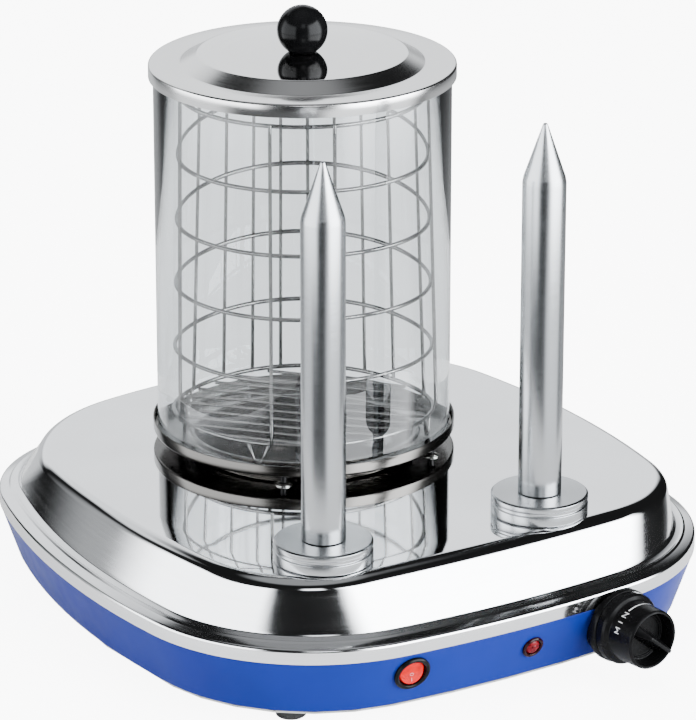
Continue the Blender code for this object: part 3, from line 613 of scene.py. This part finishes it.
WALL_SLOPE = atan2(WALL_RUN, WALL_DROP)
KNOB_PLACE = (0.0750, -0.0618)
KNOB_SEAT = AXIS_Y - 0.2550
GLAND_PLACE = (0.0, -0.0650)
SWITCH_FRAME = wall_frame(-0.0770, -0.0616, WALL_SLOPE)
LAMP_FRAME = wall_frame(0.0116, -0.0640, WALL_SLOPE)
KNOB_SLOPE_FRAME = wall_frame(*KNOB_PLACE, WALL_SLOPE)
KNOB_FRAME = wall_frame(*KNOB_PLACE, 0.0, y=KNOB_SEAT)
GLAND_SLOPE_FRAME = wall_frame(*GLAND_PLACE, WALL_SLOPE, rear=True)
GLAND_FRAME = wall_frame(*GLAND_PLACE, 0.0, rear=True)


def build_body():
    """Blue enamelled pan with a soft lower edge and an inward flange."""
    section = rounded([(0.0022, -0.0418), (0.0022, -0.0470, 0.0004), (0.0005, -0.0482, 0.0006),
                       (0.0126, -0.0840, 0.0012), (0.0150, -0.0854, 0.001), (0.0259, -0.0854)], 6)
    inner = [(0.0259, -0.0843), (0.0148, -0.0842), (0.0018, -0.0482), (0.0034, -0.0466), (0.0034, -0.0418)]
    rings = [rim_ring(inset, height) for inset, height in section + inner]
    rings.append(rings[0])
    body = place("body", loft_mesh("body", rings), ENAMEL)
    for matrix, radius in ((SWITCH_FRAME, 0.0102), (LAMP_FRAME, 0.0061), (KNOB_SLOPE_FRAME, 0.0075),
                           (GLAND_SLOPE_FRAME, 0.0070)):
        cut(body, plug_mesh("wall_hole", radius, 0.012, 40), matrix)
    resurface(body, ENAMEL, 35.0)
    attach(body, "base")
    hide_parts("base_body")


def build_feet():
    """Rubber feet with a soft lower edge and a recess for the screw."""
    for node in frame["nodes"]:
        if not node.startswith("foot_") or "screw" in node:
            continue
        x, y, _ = centre_of(node)
        top = top_of(node)
        radius = (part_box(node)[1][0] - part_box(node)[0][0]) / 2.0
        corners = [(0.0026, top), (radius, top, 0.0006), (radius, top - 0.0018, 0.0006),
                   (radius - 0.0010, 0.0008, 0.001), (radius - 0.0020, 0.0, 0.0006), (0.0050, 0.0, 0.0004),
                   (0.0050, 0.0050), (0.0026, 0.0050)]
        foot = turned(node + "_pad", corners, RUBBER, (x, y, 0.0), 48, True)
        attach(foot, "base")
        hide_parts(node)


# ---------------------------------------------------------------- steam pan, glass and lid

def build_pan():
    """Steam pan with an upright rim, a ledge for the glass, a raised bead and a deep well."""
    ledge, under, rim, floor = 0.0084, 0.0075, 0.0150, -0.0251
    bead = ledge + 0.0014
    corners = [(0.0, floor), (0.0666, floor, 0.004), (0.0706, -0.0200), (0.0706, bead, 0.0009),
               (0.0738, bead, 0.0010), (0.0756, ledge, 0.001), (0.0900, ledge), (0.0992, ledge, 0.0012),
               (0.0992, rim, 0.0003), (0.1001, rim, 0.0003), (0.1001, under, 0.0014), (0.0900, under),
               (0.0750, under, 0.001), (0.0715, under - 0.001), (0.0715, -0.0210, 0.001),
               (0.0675, -0.0260, 0.003), (0.0, -0.0260)]
    pan = turned("pan", corners, SHADED_PAN_STEEL, ON_AXIS, 128)
    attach(pan, "base")
    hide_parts("steam_pan")


def build_studs():
    """Domed studs on washers, with a black spacer up to the pan that paints the shade in the gap under the
    pan.
    """
    for number in range(1, 5):
        node = "pan_stud_%d" % number
        x, y, _ = centre_of(node)
        low, washer, high = SEAT_GAP, 2.0 * SEAT_GAP, top_of(node) - PLATFORM
        dome = [(0.0, 0.0024), (0.0016, 0.0023, 0.002), (0.0036, 0.0015, 0.003), (0.0042, washer, 0.0002),
                (0.0056, washer, 0.0001), (0.0056, low), (0.0, low)]
        stud = turned("stud_dome_%d" % number, dome, ZINC_BRIGHT, (x, y, PLATFORM), 40, sharp=50.0)
        keep(stud, "base", "zinc_plate", node)
        # Painted shade: the spacer is black so that it stands for the shade in the gap under the pan.
        spacer = [(0.0, high), (0.0024, high), (0.0022, 0.0015), (0.0, 0.0015)]
        keep(turned("stud_spacer_painted_shade_%d" % number, spacer, BLACK, (x, y, PLATFORM), 24), "base",
             "black_plastic")


def build_glass():
    """Glass cylinder with ground, rounded rims."""
    inner, outer = 0.0940, 0.0970
    low, high = bottom_of("glass_cylinder") - PLATFORM, top_of("glass_cylinder") - PLATFORM
    corners = [(inner, high, 0.0008), (outer, high, 0.0008), (outer, low, 0.0008), (inner, low, 0.0008)]
    glass = turned("glass", corners, GLASS, ON_AXIS, 128, True, sharp=60.0)
    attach(glass, "glass")
    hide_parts("glass_cylinder")


def build_lid():
    """Pressed lid: skirt, flat rim, conical step and plateau; then the ball knob."""
    sheet, rim, top, skirt = 0.0008, 0.2577, 0.2642, 0.2489
    corners = [(0.0025, top), (0.0680, top, 0.0030), (0.0797, rim, 0.0020), (0.0850, rim),
               (0.1000, rim, 0.0016), (0.1000, skirt, 0.0002), (0.0992, skirt, 0.0002),
               (0.0992, rim - sheet, 0.001), (0.0850, rim - sheet), (0.0793, rim - sheet, 0.002),
               (0.0678, top - sheet, 0.003), (0.0025, top - sheet)]
    lid = turned("lid_pressing", corners, LID_STEEL, ON_AXIS, 160, True, sharp=45.0)
    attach(lid, "lid")
    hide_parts("lid")
    radius, middle, bore, bore_top, steps = 0.0165, 0.2785, 0.0024, 0.2760, 24
    base = top + SEAT_GAP
    low = asin((base - middle) / radius)
    ball = [(0.0, middle + radius)]
    for step in range(1, steps + 1):
        angle = pi / 2.0 + (low - pi / 2.0) * step / steps
        ball.append((radius * cos(angle), middle + radius * sin(angle)))
    ball += [(bore, base), (bore, bore_top), (0.0, bore_top)]
    knob = place("lid_ball", lathe_mesh("lid_ball", ball, 64), BLACK, ON_AXIS, sharp=50.0)
    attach(knob, "lid")
    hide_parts("lid_knob")


# ---------------------------------------------------------------- basket

HOOP_RADIUS = 0.0836
HOOP_WIRE = 0.00135
UPRIGHT_WIRE = 0.00120
UPRIGHT_RADIUS = 0.0853
LOWEST_HOOP = 0.0248
HOOP_PITCH = 0.04258
HOOPS = 6
HOOP_POINTS = 96
BACK_UPRIGHTS = 9
BACK_PITCH = 0.0189
BACK_MIDDLE = 3.85
FRONT_UPRIGHTS = (-68.0, -13.6, 14.0, 90.0)
FLOOR_WIRES = 10
FLOOR_WIRE = 0.00105
FLOOR_DROP = 0.0022
FLOOR_TURN = radians(-18.0)
FOOT_WIRE = 0.00115
FOOT_LEVEL = 0.0087
FOOT_BEARINGS = (-20.5, 78.0, 166.0, -110.0)
BASKET_TURN = radians(-32.2)


def round_point(angle, radius, height):
    """A basket point; angle 0 faces the basket's own front and grows towards its right."""
    turned_angle = angle + BASKET_TURN
    return (radius * sin(turned_angle), -radius * cos(turned_angle), height)


def upright_angles():
    """Four uprights stand wide apart at the front and sides; nine stand evenly across the back."""
    back = [pi - asin((i - BACK_MIDDLE) * BACK_PITCH / UPRIGHT_RADIUS) for i in range(BACK_UPRIGHTS)]
    return back + [radians(angle) for angle in FRONT_UPRIGHTS]


def build_basket():
    """Welded wire basket: hoops, uprights, a floor of parallel wires and V-shaped feet."""
    meshes = []
    hoops = [LOWEST_HOOP + HOOP_PITCH * i for i in range(HOOPS)]
    for height in hoops:
        ring = [round_point(2.0 * pi * i / HOOP_POINTS, HOOP_RADIUS, height) for i in range(HOOP_POINTS)]
        meshes.append(tube_mesh("hoop", ring, HOOP_WIRE, 12, True))
    for angle in upright_angles():
        low, high = hoops[0] - 0.0012, hoops[-1] + 0.0012
        line = [round_point(angle, UPRIGHT_RADIUS, low + (high - low) * k / 12) for k in range(13)]
        meshes.append(tube_mesh("upright", line, UPRIGHT_WIRE, 10))
    floor_height = hoops[0] - FLOOR_DROP
    pitch = 2.0 * HOOP_RADIUS / (FLOOR_WIRES + 1)
    turn = Matrix.Rotation(BASKET_TURN + FLOOR_TURN, 3, "Z")
    for i in range(FLOOR_WIRES):
        aside = (i - (FLOOR_WIRES - 1) / 2.0) * pitch
        reach = sqrt(HOOP_RADIUS ** 2 - aside ** 2) - 0.0002
        line = [tuple(turn @ Vector((-reach + 2.0 * reach * k / 8, aside, floor_height))) for k in range(9)]
        meshes.append(tube_mesh("floor_wire", line, FLOOR_WIRE, 8))
    low = FOOT_LEVEL + HOOP_WIRE
    for bearing in FOOT_BEARINGS:
        angle = radians(bearing)
        side, tip = radians(5.5), radians(1.8)
        line = [round_point(angle + turn_by, HOOP_RADIUS - 0.0022, height) for turn_by, height in (
            (-side, hoops[0] + 0.001), (-tip * 1.5, low + 0.004), (-tip, low + 0.0009), (-tip * 0.4, low),
            (tip * 0.4, low), (tip, low + 0.0009), (tip * 1.5, low + 0.004), (side, hoops[0] + 0.001))]
        meshes.append(tube_mesh("basket_foot", line, FOOT_WIRE, 10))
    basket = place("wire_basket", join_meshes("wire_basket", meshes), WIRE, ON_AXIS, sharp=50.0)
    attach(basket, "basket")
    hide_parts("basket")


# ---------------------------------------------------------------- bun spikes

SPIKE_TIP = top_of("spike_left") - PLATFORM


def build_spikes():
    """Hollow spikes with a rounded point, each on a stepped and grooved disc."""
    spigot, bore, girth = 0.0080, 0.0054, 0.01384
    shaft = [(0.0, SPIKE_TIP), (0.0013, SPIKE_TIP - 0.0002, 0.0012), (0.0026, 0.2535),
             (0.0132, 0.2228, 0.004), (girth, 0.2190), (girth, 0.0141, 0.0003), (spigot, 0.0139),
             (spigot, -0.0140), (bore, -0.0140), (bore, 0.2050), (0.0, 0.2050)]
    edge, groove = 0.0310, 0.0300
    disc = [(SPIGOT_HOLE, 0.0136), (0.0298, 0.0136, 0.0004), (edge, 0.0126, 0.0005), (edge, 0.0098, 0.0004),
            (groove, 0.0092, 0.0003), (groove, 0.0072, 0.0003), (edge, 0.0066, 0.0004),
            (edge, 0.0009, 0.0006), (0.0302, SEAT_GAP), (SPIGOT_HOLE, SEAT_GAP)]
    for side in ("left", "right"):
        x, y, _ = centre_of("spike_" + side)
        spike = turned("bun_spike_" + side, shaft, ALUMINIUM, (x, y, PLATFORM), 96, sharp=30.0)
        plate = turned("bun_disc_" + side, disc, ALUMINIUM, (x, y, PLATFORM), 128, True, sharp=30.0)
        for piece, node in ((spike, "spike_" + side), (plate, "spike_disc_" + side)):
            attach(piece, "base")
            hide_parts(node)


# ---------------------------------------------------------------- controls

ROCKER_TILT = radians(8.0)
ROCKER_CREASE = 0.0032
ROCKER_PIVOT = (SWITCH_FRAME @ Matrix.Translation((0.0, 0.0, -0.0030))
                @ Matrix.Rotation(-ROCKER_TILT, 4, "X"))


def rocker_height(y):
    """Top of the rocker: two wings that rise from a crease across its middle."""
    return ROCKER_CREASE + (abs(y) + 0.0002) * sin(ROCKER_TILT)


def ribbon(shape, points, width, lift):
    """Adds a thin printed line; lift turns flat (across, along) points into places on the surface."""
    for start, end in zip(points, points[1:]):
        a, b = Vector(start), Vector(end)
        along = (b - a).normalized()
        side = Vector((-along.y, along.x)) * width / 2.0
        a, b = a - along * width * 0.35, b + along * width * 0.35
        count = 4
        rows = []
        for step in range(count + 1):
            middle = a.lerp(b, step / count)
            rows.append([shape.verts.new(lift(*(middle + side))), shape.verts.new(lift(*(middle - side)))])
        for (p, q), (r, t) in zip(rows, rows[1:]):
            shape.faces.new((p, q, t, r))


def build_switch():
    """Round switch: a black collar, the creased red rocker and its on and off marks."""
    housing = [(0.0, -0.0125), (0.0093, -0.0125), (0.0093, 0.0020, 0.0003), (0.0108, 0.0029, 0.0009),
               (0.0122, 0.0018, 0.0008), (0.0122, SEAT_GAP), (0.0098, SEAT_GAP), (0.0098, -0.0240),
               (0.0, -0.0240)]
    collar = turned("switch_collar", housing, BLACK, segments=64, matrix=SWITCH_FRAME)
    keep(collar, "base", "black_plastic", "switch_housing")
    shape = bmesh.new()
    segments, radius = 72, 0.0083
    rows = [[shape.verts.new((0.0, 0.0, rocker_height(0.0)))]]
    for share in (0.12, 0.3, 0.5, 0.7, 0.85, 0.94, 0.985, 1.0):
        drop = 0.00035 * max(0.0, share - 0.94) / 0.06
        rows.append([shape.verts.new((x, y, rocker_height(y) - drop))
                     for x, y in circle(share * radius, segments)])
    for side_radius, height in ((0.0088, 0.0010), (0.0088, -0.0015), (0.0076, -0.0045)):
        rows.append([shape.verts.new((x, y, height)) for x, y in circle(side_radius, segments)])
    for first, second in zip(rows, rows[1:]):
        for i in range(segments):
            j = (i + 1) % segments
            corners = dict.fromkeys([first[i % len(first)], second[i], second[j], first[j % len(first)]])
            shape.faces.new(list(corners))
    shape.faces.new(list(reversed(rows[-1])))
    rocker = place("rocker", finish_mesh("rocker", shape), RED_PAINTED_GLOW, matrix=ROCKER_PIVOT, sharp=28.0)
    keep(rocker, "rocker", "red_plastic", "switch_rocker")
    marks = bmesh.new()
    sides = 16
    ring = [(0.00125 * cos(2.0 * pi * i / sides), 0.0008 * sin(2.0 * pi * i / sides) - 0.0016)
            for i in range(sides + 1)]
    for points in (ring, [(0.0, -0.0040), (0.0, -0.0062)]):
        ribbon(marks, points, 0.00042, lambda x, y: (x, y, rocker_height(y) + 0.00008))
    keep(place("rocker_marks", finish_mesh("rocker_marks", marks), PRINT_PINK, matrix=ROCKER_PIVOT),
         "rocker", None)


def build_lamp():
    """Pilot lamp: a bezel with its barrel, and a domed lens with a step in it."""
    housing = [(0.0, -0.0040), (0.0054, -0.0040), (0.0054, 0.0016, 0.0003), (0.0064, 0.0022, 0.0006),
               (0.0075, 0.0014, 0.0006), (0.0075, SEAT_GAP), (0.0057, SEAT_GAP), (0.0057, -0.0180),
               (0.0, -0.0180)]
    bezel = turned("lamp_bezel", housing, LAMP_BLACK, segments=56, matrix=LAMP_FRAME)
    keep(bezel, "base", "black_plastic", "lamp_housing")
    lens = [(0.0, 0.0030), (0.0020, 0.0028, 0.001), (0.0024, 0.0023, 0.0003), (0.0040, 0.0017, 0.0010),
            (0.0050, 0.0006, 0.0006), (0.0050, -0.0010), (0.0044, -0.0010), (0.0036, 0.0006), (0.0, 0.0018)]
    glass = turned("lamp_glass", lens, LENS, segments=56, matrix=LAMP_FRAME)
    keep(glass, "base", "dark_red_lens", "lamp_lens")


def slab(name, size, centre):
    """A block that cuts away everything on one side of a plane."""
    shape = bmesh.new()
    bmesh.ops.create_cube(shape, size=1.0)
    for vert in shape.verts:
        vert.co = Vector([centre[i] + vert.co[i] * size[i] for i in range(3)])
    return finish_mesh(name, shape)


GRIP_TURN = radians(-38.6)


def grip_mesh():
    """Hip-ended bar: it climbs from the floor of the recess to a narrow ridge that runs over the rim."""
    low, high, half_base, half_ridge = 0.0232, 0.0352, 0.0047, 0.0011
    base = ((-0.0150, -half_base), (0.0182, -half_base), (0.0182, half_base), (-0.0150, half_base))
    ridge = ((-0.0022, -half_ridge), (0.0186, -half_ridge), (0.0186, half_ridge), (-0.0022, half_ridge))
    shape = bmesh.new()
    lower = [shape.verts.new((x, y, low)) for x, y in base]
    upper = [shape.verts.new((x, y, high)) for x, y in ridge]
    shape.faces.new(list(reversed(lower)))
    shape.faces.new(upper)
    for i in range(4):
        j = (i + 1) % 4
        shape.faces.new((lower[i], lower[j], upper[j], upper[i]))
    bmesh.ops.bevel(shape, geom=shape.edges[:], offset=0.0005, segments=2, profile=0.5, affect="EDGES",
                    clamp_overlap=True)
    bmesh.ops.rotate(shape, verts=shape.verts, cent=(0.0, 0.0, 0.0),
                     matrix=Matrix.Rotation(GRIP_TURN, 3, "Z"))
    return finish_mesh("grip", shape)


# Strokes of the letters of the dial's minimum mark, in a box one wide and one high.
MARK_LETTERS = (((0.0, 0.0), (0.0, 1.0), (0.5, 0.3), (1.0, 1.0), (1.0, 0.0)), ((0.5, 0.0), (0.5, 1.0)),
                ((0.0, 0.0), (0.0, 1.0), (1.0, 0.0), (1.0, 1.0)))
SKIRT_LENGTH, SKIRT_RADIUS = 0.0136, 0.0200
FRONT_TAPER = 0.0006 / 0.0200
PRINT_LIFT = 0.00006
PRINT_START = radians(164.0)


def knob_surface(travel, length):
    """Point just proud of the knob's side: travel is measured clockwise round it from across-left."""
    radius = SKIRT_RADIUS - (length - SKIRT_LENGTH) * FRONT_TAPER + PRINT_LIFT
    angle = PRINT_START - travel / radius
    return (radius * cos(angle), radius * sin(angle), length)


def build_knob():
    """Dial plate cut to the wall and the lip, and the knob with its recess, grip and printed mark."""
    bezel = [(0.0056, 0.0058), (0.0235, 0.0058, 0.0006), (0.0241, 0.0048), (0.0241, SEAT_GAP),
             (0.0205, SEAT_GAP), (0.0205, -0.0200), (0.0056, -0.0200)]
    ring = turned("knob_bezel", bezel, KNOB_BLACK, segments=96, closed=True, matrix=KNOB_FRAME)
    cut(ring, slab("wall_side", (0.090, 0.090, 0.040), (0.0, 0.0, -0.0192)), KNOB_SLOPE_FRAME)
    lip_edge = PLATFORM + LIP_HEIGHT - KNOB_FRAME.translation.z
    cut(ring, slab("lip_side", (0.090, 0.040, 0.040), (0.0, 0.020 + lip_edge - 0.0006, -0.0197)), KNOB_FRAME)
    resurface(ring, KNOB_BLACK, 35.0)
    keep(ring, "base", "black_plastic", "thermostat_bezel")

    recess, ring_top, back, bore, bore_top = 0.0240, 0.0251, 0.0062, 0.0033, 0.0195
    profile = [(0.0, recess), (0.0130, recess, 0.0003), (0.0132, ring_top, 0.0003),
               (0.0141, ring_top, 0.0003), (0.0144, recess, 0.0003), (0.0161, recess, 0.0006),
               (0.0172, 0.0338, 0.0006), (0.0180, 0.0345, 0.0004), (0.0194, 0.0334, 0.0014),
               (0.0200, 0.0144, 0.0012), (0.0224, 0.0129, 0.0010), (0.0234, 0.0112, 0.001),
               (0.0235, 0.0066, 0.0003), (0.0231, back), (bore, back), (bore, bore_top), (0.0, bore_top)]
    dial = lathe_mesh("dial", rounded(profile, 4), 112)
    knob = place("dial_knob", join_meshes("dial_knob", [dial, grip_mesh()]), KNOB_BLACK,
                 matrix=KNOB_FRAME, sharp=40.0)
    keep(knob, "knob", "black_plastic", "thermostat_knob")

    marks = bmesh.new()
    width, height, pitch, foot = 0.0033, 0.0034, 0.0056, 0.0224
    for number, strokes in enumerate(MARK_LETTERS):
        points = [(number * pitch + across * width, foot - up * height) for across, up in strokes]
        ribbon(marks, points, 0.00052, knob_surface)
    start_travel, sweep_travel, pieces = 0.0168, 0.0178, 12
    sweep = [(start_travel + sweep_travel * i / pieces, foot - 0.0018 + 0.0006 * i / pieces)
             for i in range(pieces + 1)]
    for i, (start, end) in enumerate(zip(sweep, sweep[1:])):
        ribbon(marks, (start, end), 0.0010 - 0.0006 * i / (pieces - 1), knob_surface)
    keep(place("dial_marks", finish_mesh("dial_marks", marks), PRINT, matrix=KNOB_FRAME), "knob", None)


def build_gland():
    """Cable gland: a cap cut to the rear wall, and the barrel through it; its bore is empty."""
    cap = [(0.0037, 0.0190), (0.0060, 0.0187, 0.0004), (0.0076, 0.0136, 0.002), (0.0082, 0.0128, 0.0006),
           (0.0098, 0.0124, 0.0005), (0.0098, -0.0060), (0.0037, -0.0060)]
    boss = turned("gland_cap", cap, BLACK, segments=64, closed=True, matrix=GLAND_FRAME)
    cut(boss, slab("gland_wall_side", (0.060, 0.060, 0.030), (0.0, 0.0, -0.0147)), GLAND_SLOPE_FRAME)
    resurface(boss, BLACK, 35.0)
    barrel = [(0.0036, 0.0080), (0.0061, 0.0080), (0.0061, -0.0170, 0.0004), (0.0036, -0.0170)]
    sleeve_part = turned("gland_barrel", barrel, BLACK, segments=48, closed=True, matrix=GLAND_FRAME)
    keep(boss, "base", "black_plastic", "cable_gland")
    keep(sleeve_part, "base", "black_plastic")


def carry_over():
    """CAD nodes whose shape is right keep it and get the detailed materials."""
    finishes = {"blue_enamel": ENAMEL, "polished_steel": STEEL, "satin_steel": LID_STEEL,
                "wire_steel": WIRE, "turned_aluminium": ALUMINIUM, "zinc_plate": ZINC,
                "clear_glass": GLASS, "black_plastic": KNOB_BLACK, "black_rubber": RUBBER,
                "red_plastic": RED_PAINTED_GLOW, "dark_red_lens": LENS, "brass": BRASS, "white_nylon": NYLON,
                "wire_sleeve": SLEEVE}
    for row in frame["record"]["subparts"]:
        mesh = frame["nodes"][row["node"]].data
        mesh.materials.clear()
        mesh.materials.append(finishes[row["material_slot"]])


# ---------------------------------------------------------------- stage, light and camera

CAMERA_TURN = radians(32.453)
CAMERA_PITCH = radians(19.866)
CAMERA_LENS = 215.70
CAMERA_PLACE = (-1.4174, AXIS_Y - 2.2838, PLATFORM + 1.0234)


def toward(bearing, height):
    """Unit vector; bearing 0 points away from the camera and grows to its right, both in degrees."""
    turn = CAMERA_TURN + radians(bearing)
    return Vector((sin(turn) * cos(radians(height)), cos(turn) * cos(radians(height)), sin(radians(height))))


def overhead_light():
    """Large soft light above the object; mirrors don't show it."""
    bearing, height, distance = 180.0, 80.0, 2.2
    data = bpy.data.lights.new("overhead", "AREA")
    data.shape = "RECTANGLE"
    data.size = data.size_y = 2.4
    data.energy = 60.0
    item = bpy.data.objects.new("overhead", data)
    bpy.context.scene.collection.objects.link(item)
    aim = toward(bearing, height)
    item.location = aim * distance
    item.rotation_euler = (-aim).to_track_quat("-Z", "Y").to_euler()
    item.visible_glossy = False


class Sky(Graph):
    """World made of a dim base and soft bright patches, each a span of bearings times a span of heights."""

    def __init__(self, world):
        super().__init__(world)
        coords = self.nodes.new("ShaderNodeTexCoord")
        self.flat_x, self.flat_y, up = self.split(coords.outputs["Generated"])
        self.height = self.math("ARCSINE", up)
        self.total = None

    def ramp(self, value, start, end):
        node = self.nodes.new("ShaderNodeMapRange")
        node.interpolation_type = "SMOOTHSTEP"
        node.inputs["From Min"].default_value = start
        node.inputs["From Max"].default_value = end
        self.links.new(value, node.inputs["Value"])
        return node.outputs["Result"]

    def away(self, bearing):
        """Angle between the horizontal direction and a bearing, 0 to 180 degrees in radians."""
        aim = toward(bearing, 0.0)
        along = self.math("ADD", self.math("MULTIPLY", self.flat_x, aim.x),
                          self.math("MULTIPLY", self.flat_y, aim.y))
        across = self.math("SUBTRACT", self.math("MULTIPLY", self.flat_x, aim.y),
                           self.math("MULTIPLY", self.flat_y, aim.x))
        return self.math("ABSOLUTE", self.math("ARCTAN2", across, along))

    def patch(self, bearing, half_width, blur, low, high, edge, strength):
        """Adds one bright patch; the angles are in degrees and its borders fade over blur and edge."""
        low_side = self.ramp(self.height, radians(low - edge), radians(low + edge))
        high_side = self.ramp(self.height, radians(high + edge), radians(high - edge))
        sideways = self.ramp(self.away(bearing), radians(half_width + blur), radians(half_width - blur))
        light = self.math("MULTIPLY", self.math("MULTIPLY", low_side, high_side),
                          self.math("MULTIPLY", sideways, strength))
        self.total = light if self.total is None else self.math("ADD", self.total, light)

    def finish(self, base):
        """Joins the patches and the base to the world, which the camera sees nearly white."""
        backdrop = 5.0
        shader = self.nodes["Background"]
        shader.inputs["Color"].default_value = (0.93, 0.965, 1.0, 1.0)
        rays = self.nodes.new("ShaderNodeLightPath")
        seen = self.math("MULTIPLY", rays.outputs["Is Camera Ray"], backdrop)
        strength = self.math("ADD", self.math("ADD", self.total, base), seen)
        self.links.new(strength, shader.inputs["Strength"])


# Bearing, half width, blur, lower and upper height, edge (all in degrees) and strength of each patch.
SKY_PATCHES = (
    (-11.0, 29.0, 6.0, 9.0, 33.0, 4.5, 1.9),
    (-32.0, 26.0, 6.0, 33.0, 41.0, 3.0, 1.4),
    (-12.0, 24.0, 8.0, -45.0, 9.0, 7.0, 1.0),
    (45.0, 30.0, 8.0, -50.0, -14.0, 5.0, 0.7),
    (-56.0, 22.0, 8.0, -50.0, -14.0, 5.0, 0.7),
    (116.5, 31.0, 9.0, -12.0, 33.0, 3.0, 15.0),
    (125.0, 38.0, 8.0, -45.0, -12.0, 5.0, 2.0),
    (-112.0, 38.0, 6.0, -12.0, 26.0, 3.0, 6.0),
    (-66.0, 10.0, 8.0, -12.0, 24.0, 5.0, 0.5),
    (-98.0, 24.0, 10.0, -45.0, -12.0, 6.0, 1.5),
    (180.0, 50.0, 15.0, -60.0, -14.0, 6.0, 0.12),
    (174.0, 9.0, 4.0, 24.0, 40.0, 4.0, 4.0),
    (0.0, 200.0, 5.0, 64.0, 95.0, 6.0, 0.35))
SKY_BASE = 0.014


def floor_piece(name, points, mirrored, look):
    mesh = bpy.data.meshes.new(name)
    mesh.from_pydata(*points)
    piece = place(name, mesh, look, (0.0, 0.0, -0.0002))
    piece.visible_glossy = mirrored


def build_stage():
    """Pale floor in two pieces, of which mirrors show only the inner disc, and the studio's sky."""
    floor_glow = 8.0
    look = Look("floor_look", (0.90, 0.90, 0.90), 0.9)
    look.set(Specular_IOR_Level=0.1)
    look.tint(look.noise(size=0.6), 0.99, 1.0)
    rays = look.nodes.new("ShaderNodeLightPath")
    look.set(Emission_Color=(1.0, 1.0, 1.0, 1.0))
    look.links.new(look.math("MULTIPLY", rays.outputs["Is Camera Ray"], floor_glow),
                   look.shader.inputs["Emission Strength"])
    sides, near, far = 48, 0.46, 7.0
    disc, outer = [[(x, y, 0.0) for x, y in circle(radius, sides)] for radius in (near, far)]
    faces = [(i, (i + 1) % sides, sides + (i + 1) % sides, sides + i) for i in range(sides)]
    floor_piece("floor", (disc, [], [tuple(range(sides))]), True, look.material)
    floor_piece("floor_around", (outer + disc, [], faces), False, look.material)
    world = bpy.context.scene.world or bpy.data.worlds.new("studio")
    bpy.context.scene.world = world
    sky = Sky(world)
    for patch in SKY_PATCHES:
        sky.patch(*patch)
    sky.finish(SKY_BASE)
    overhead_light()


def build_camera():
    """Long lens at the front left, looking down at the object."""
    data = bpy.data.cameras.new("camera")
    data.sensor_width = 36.0
    data.lens = CAMERA_LENS
    item = bpy.data.objects.new("camera", data)
    bpy.context.scene.collection.objects.link(item)
    item.location = CAMERA_PLACE
    item.rotation_euler = (pi / 2.0 - CAMERA_PITCH, 0.0, -CAMERA_TURN)
    bpy.context.scene.camera = item


build_camera()
carry_over()
build_cover()
build_body()
build_feet()
build_pan()
build_studs()
build_glass()
build_lid()
build_basket()
build_spikes()
build_switch()
build_lamp()
build_knob()
build_gland()
build_stage()
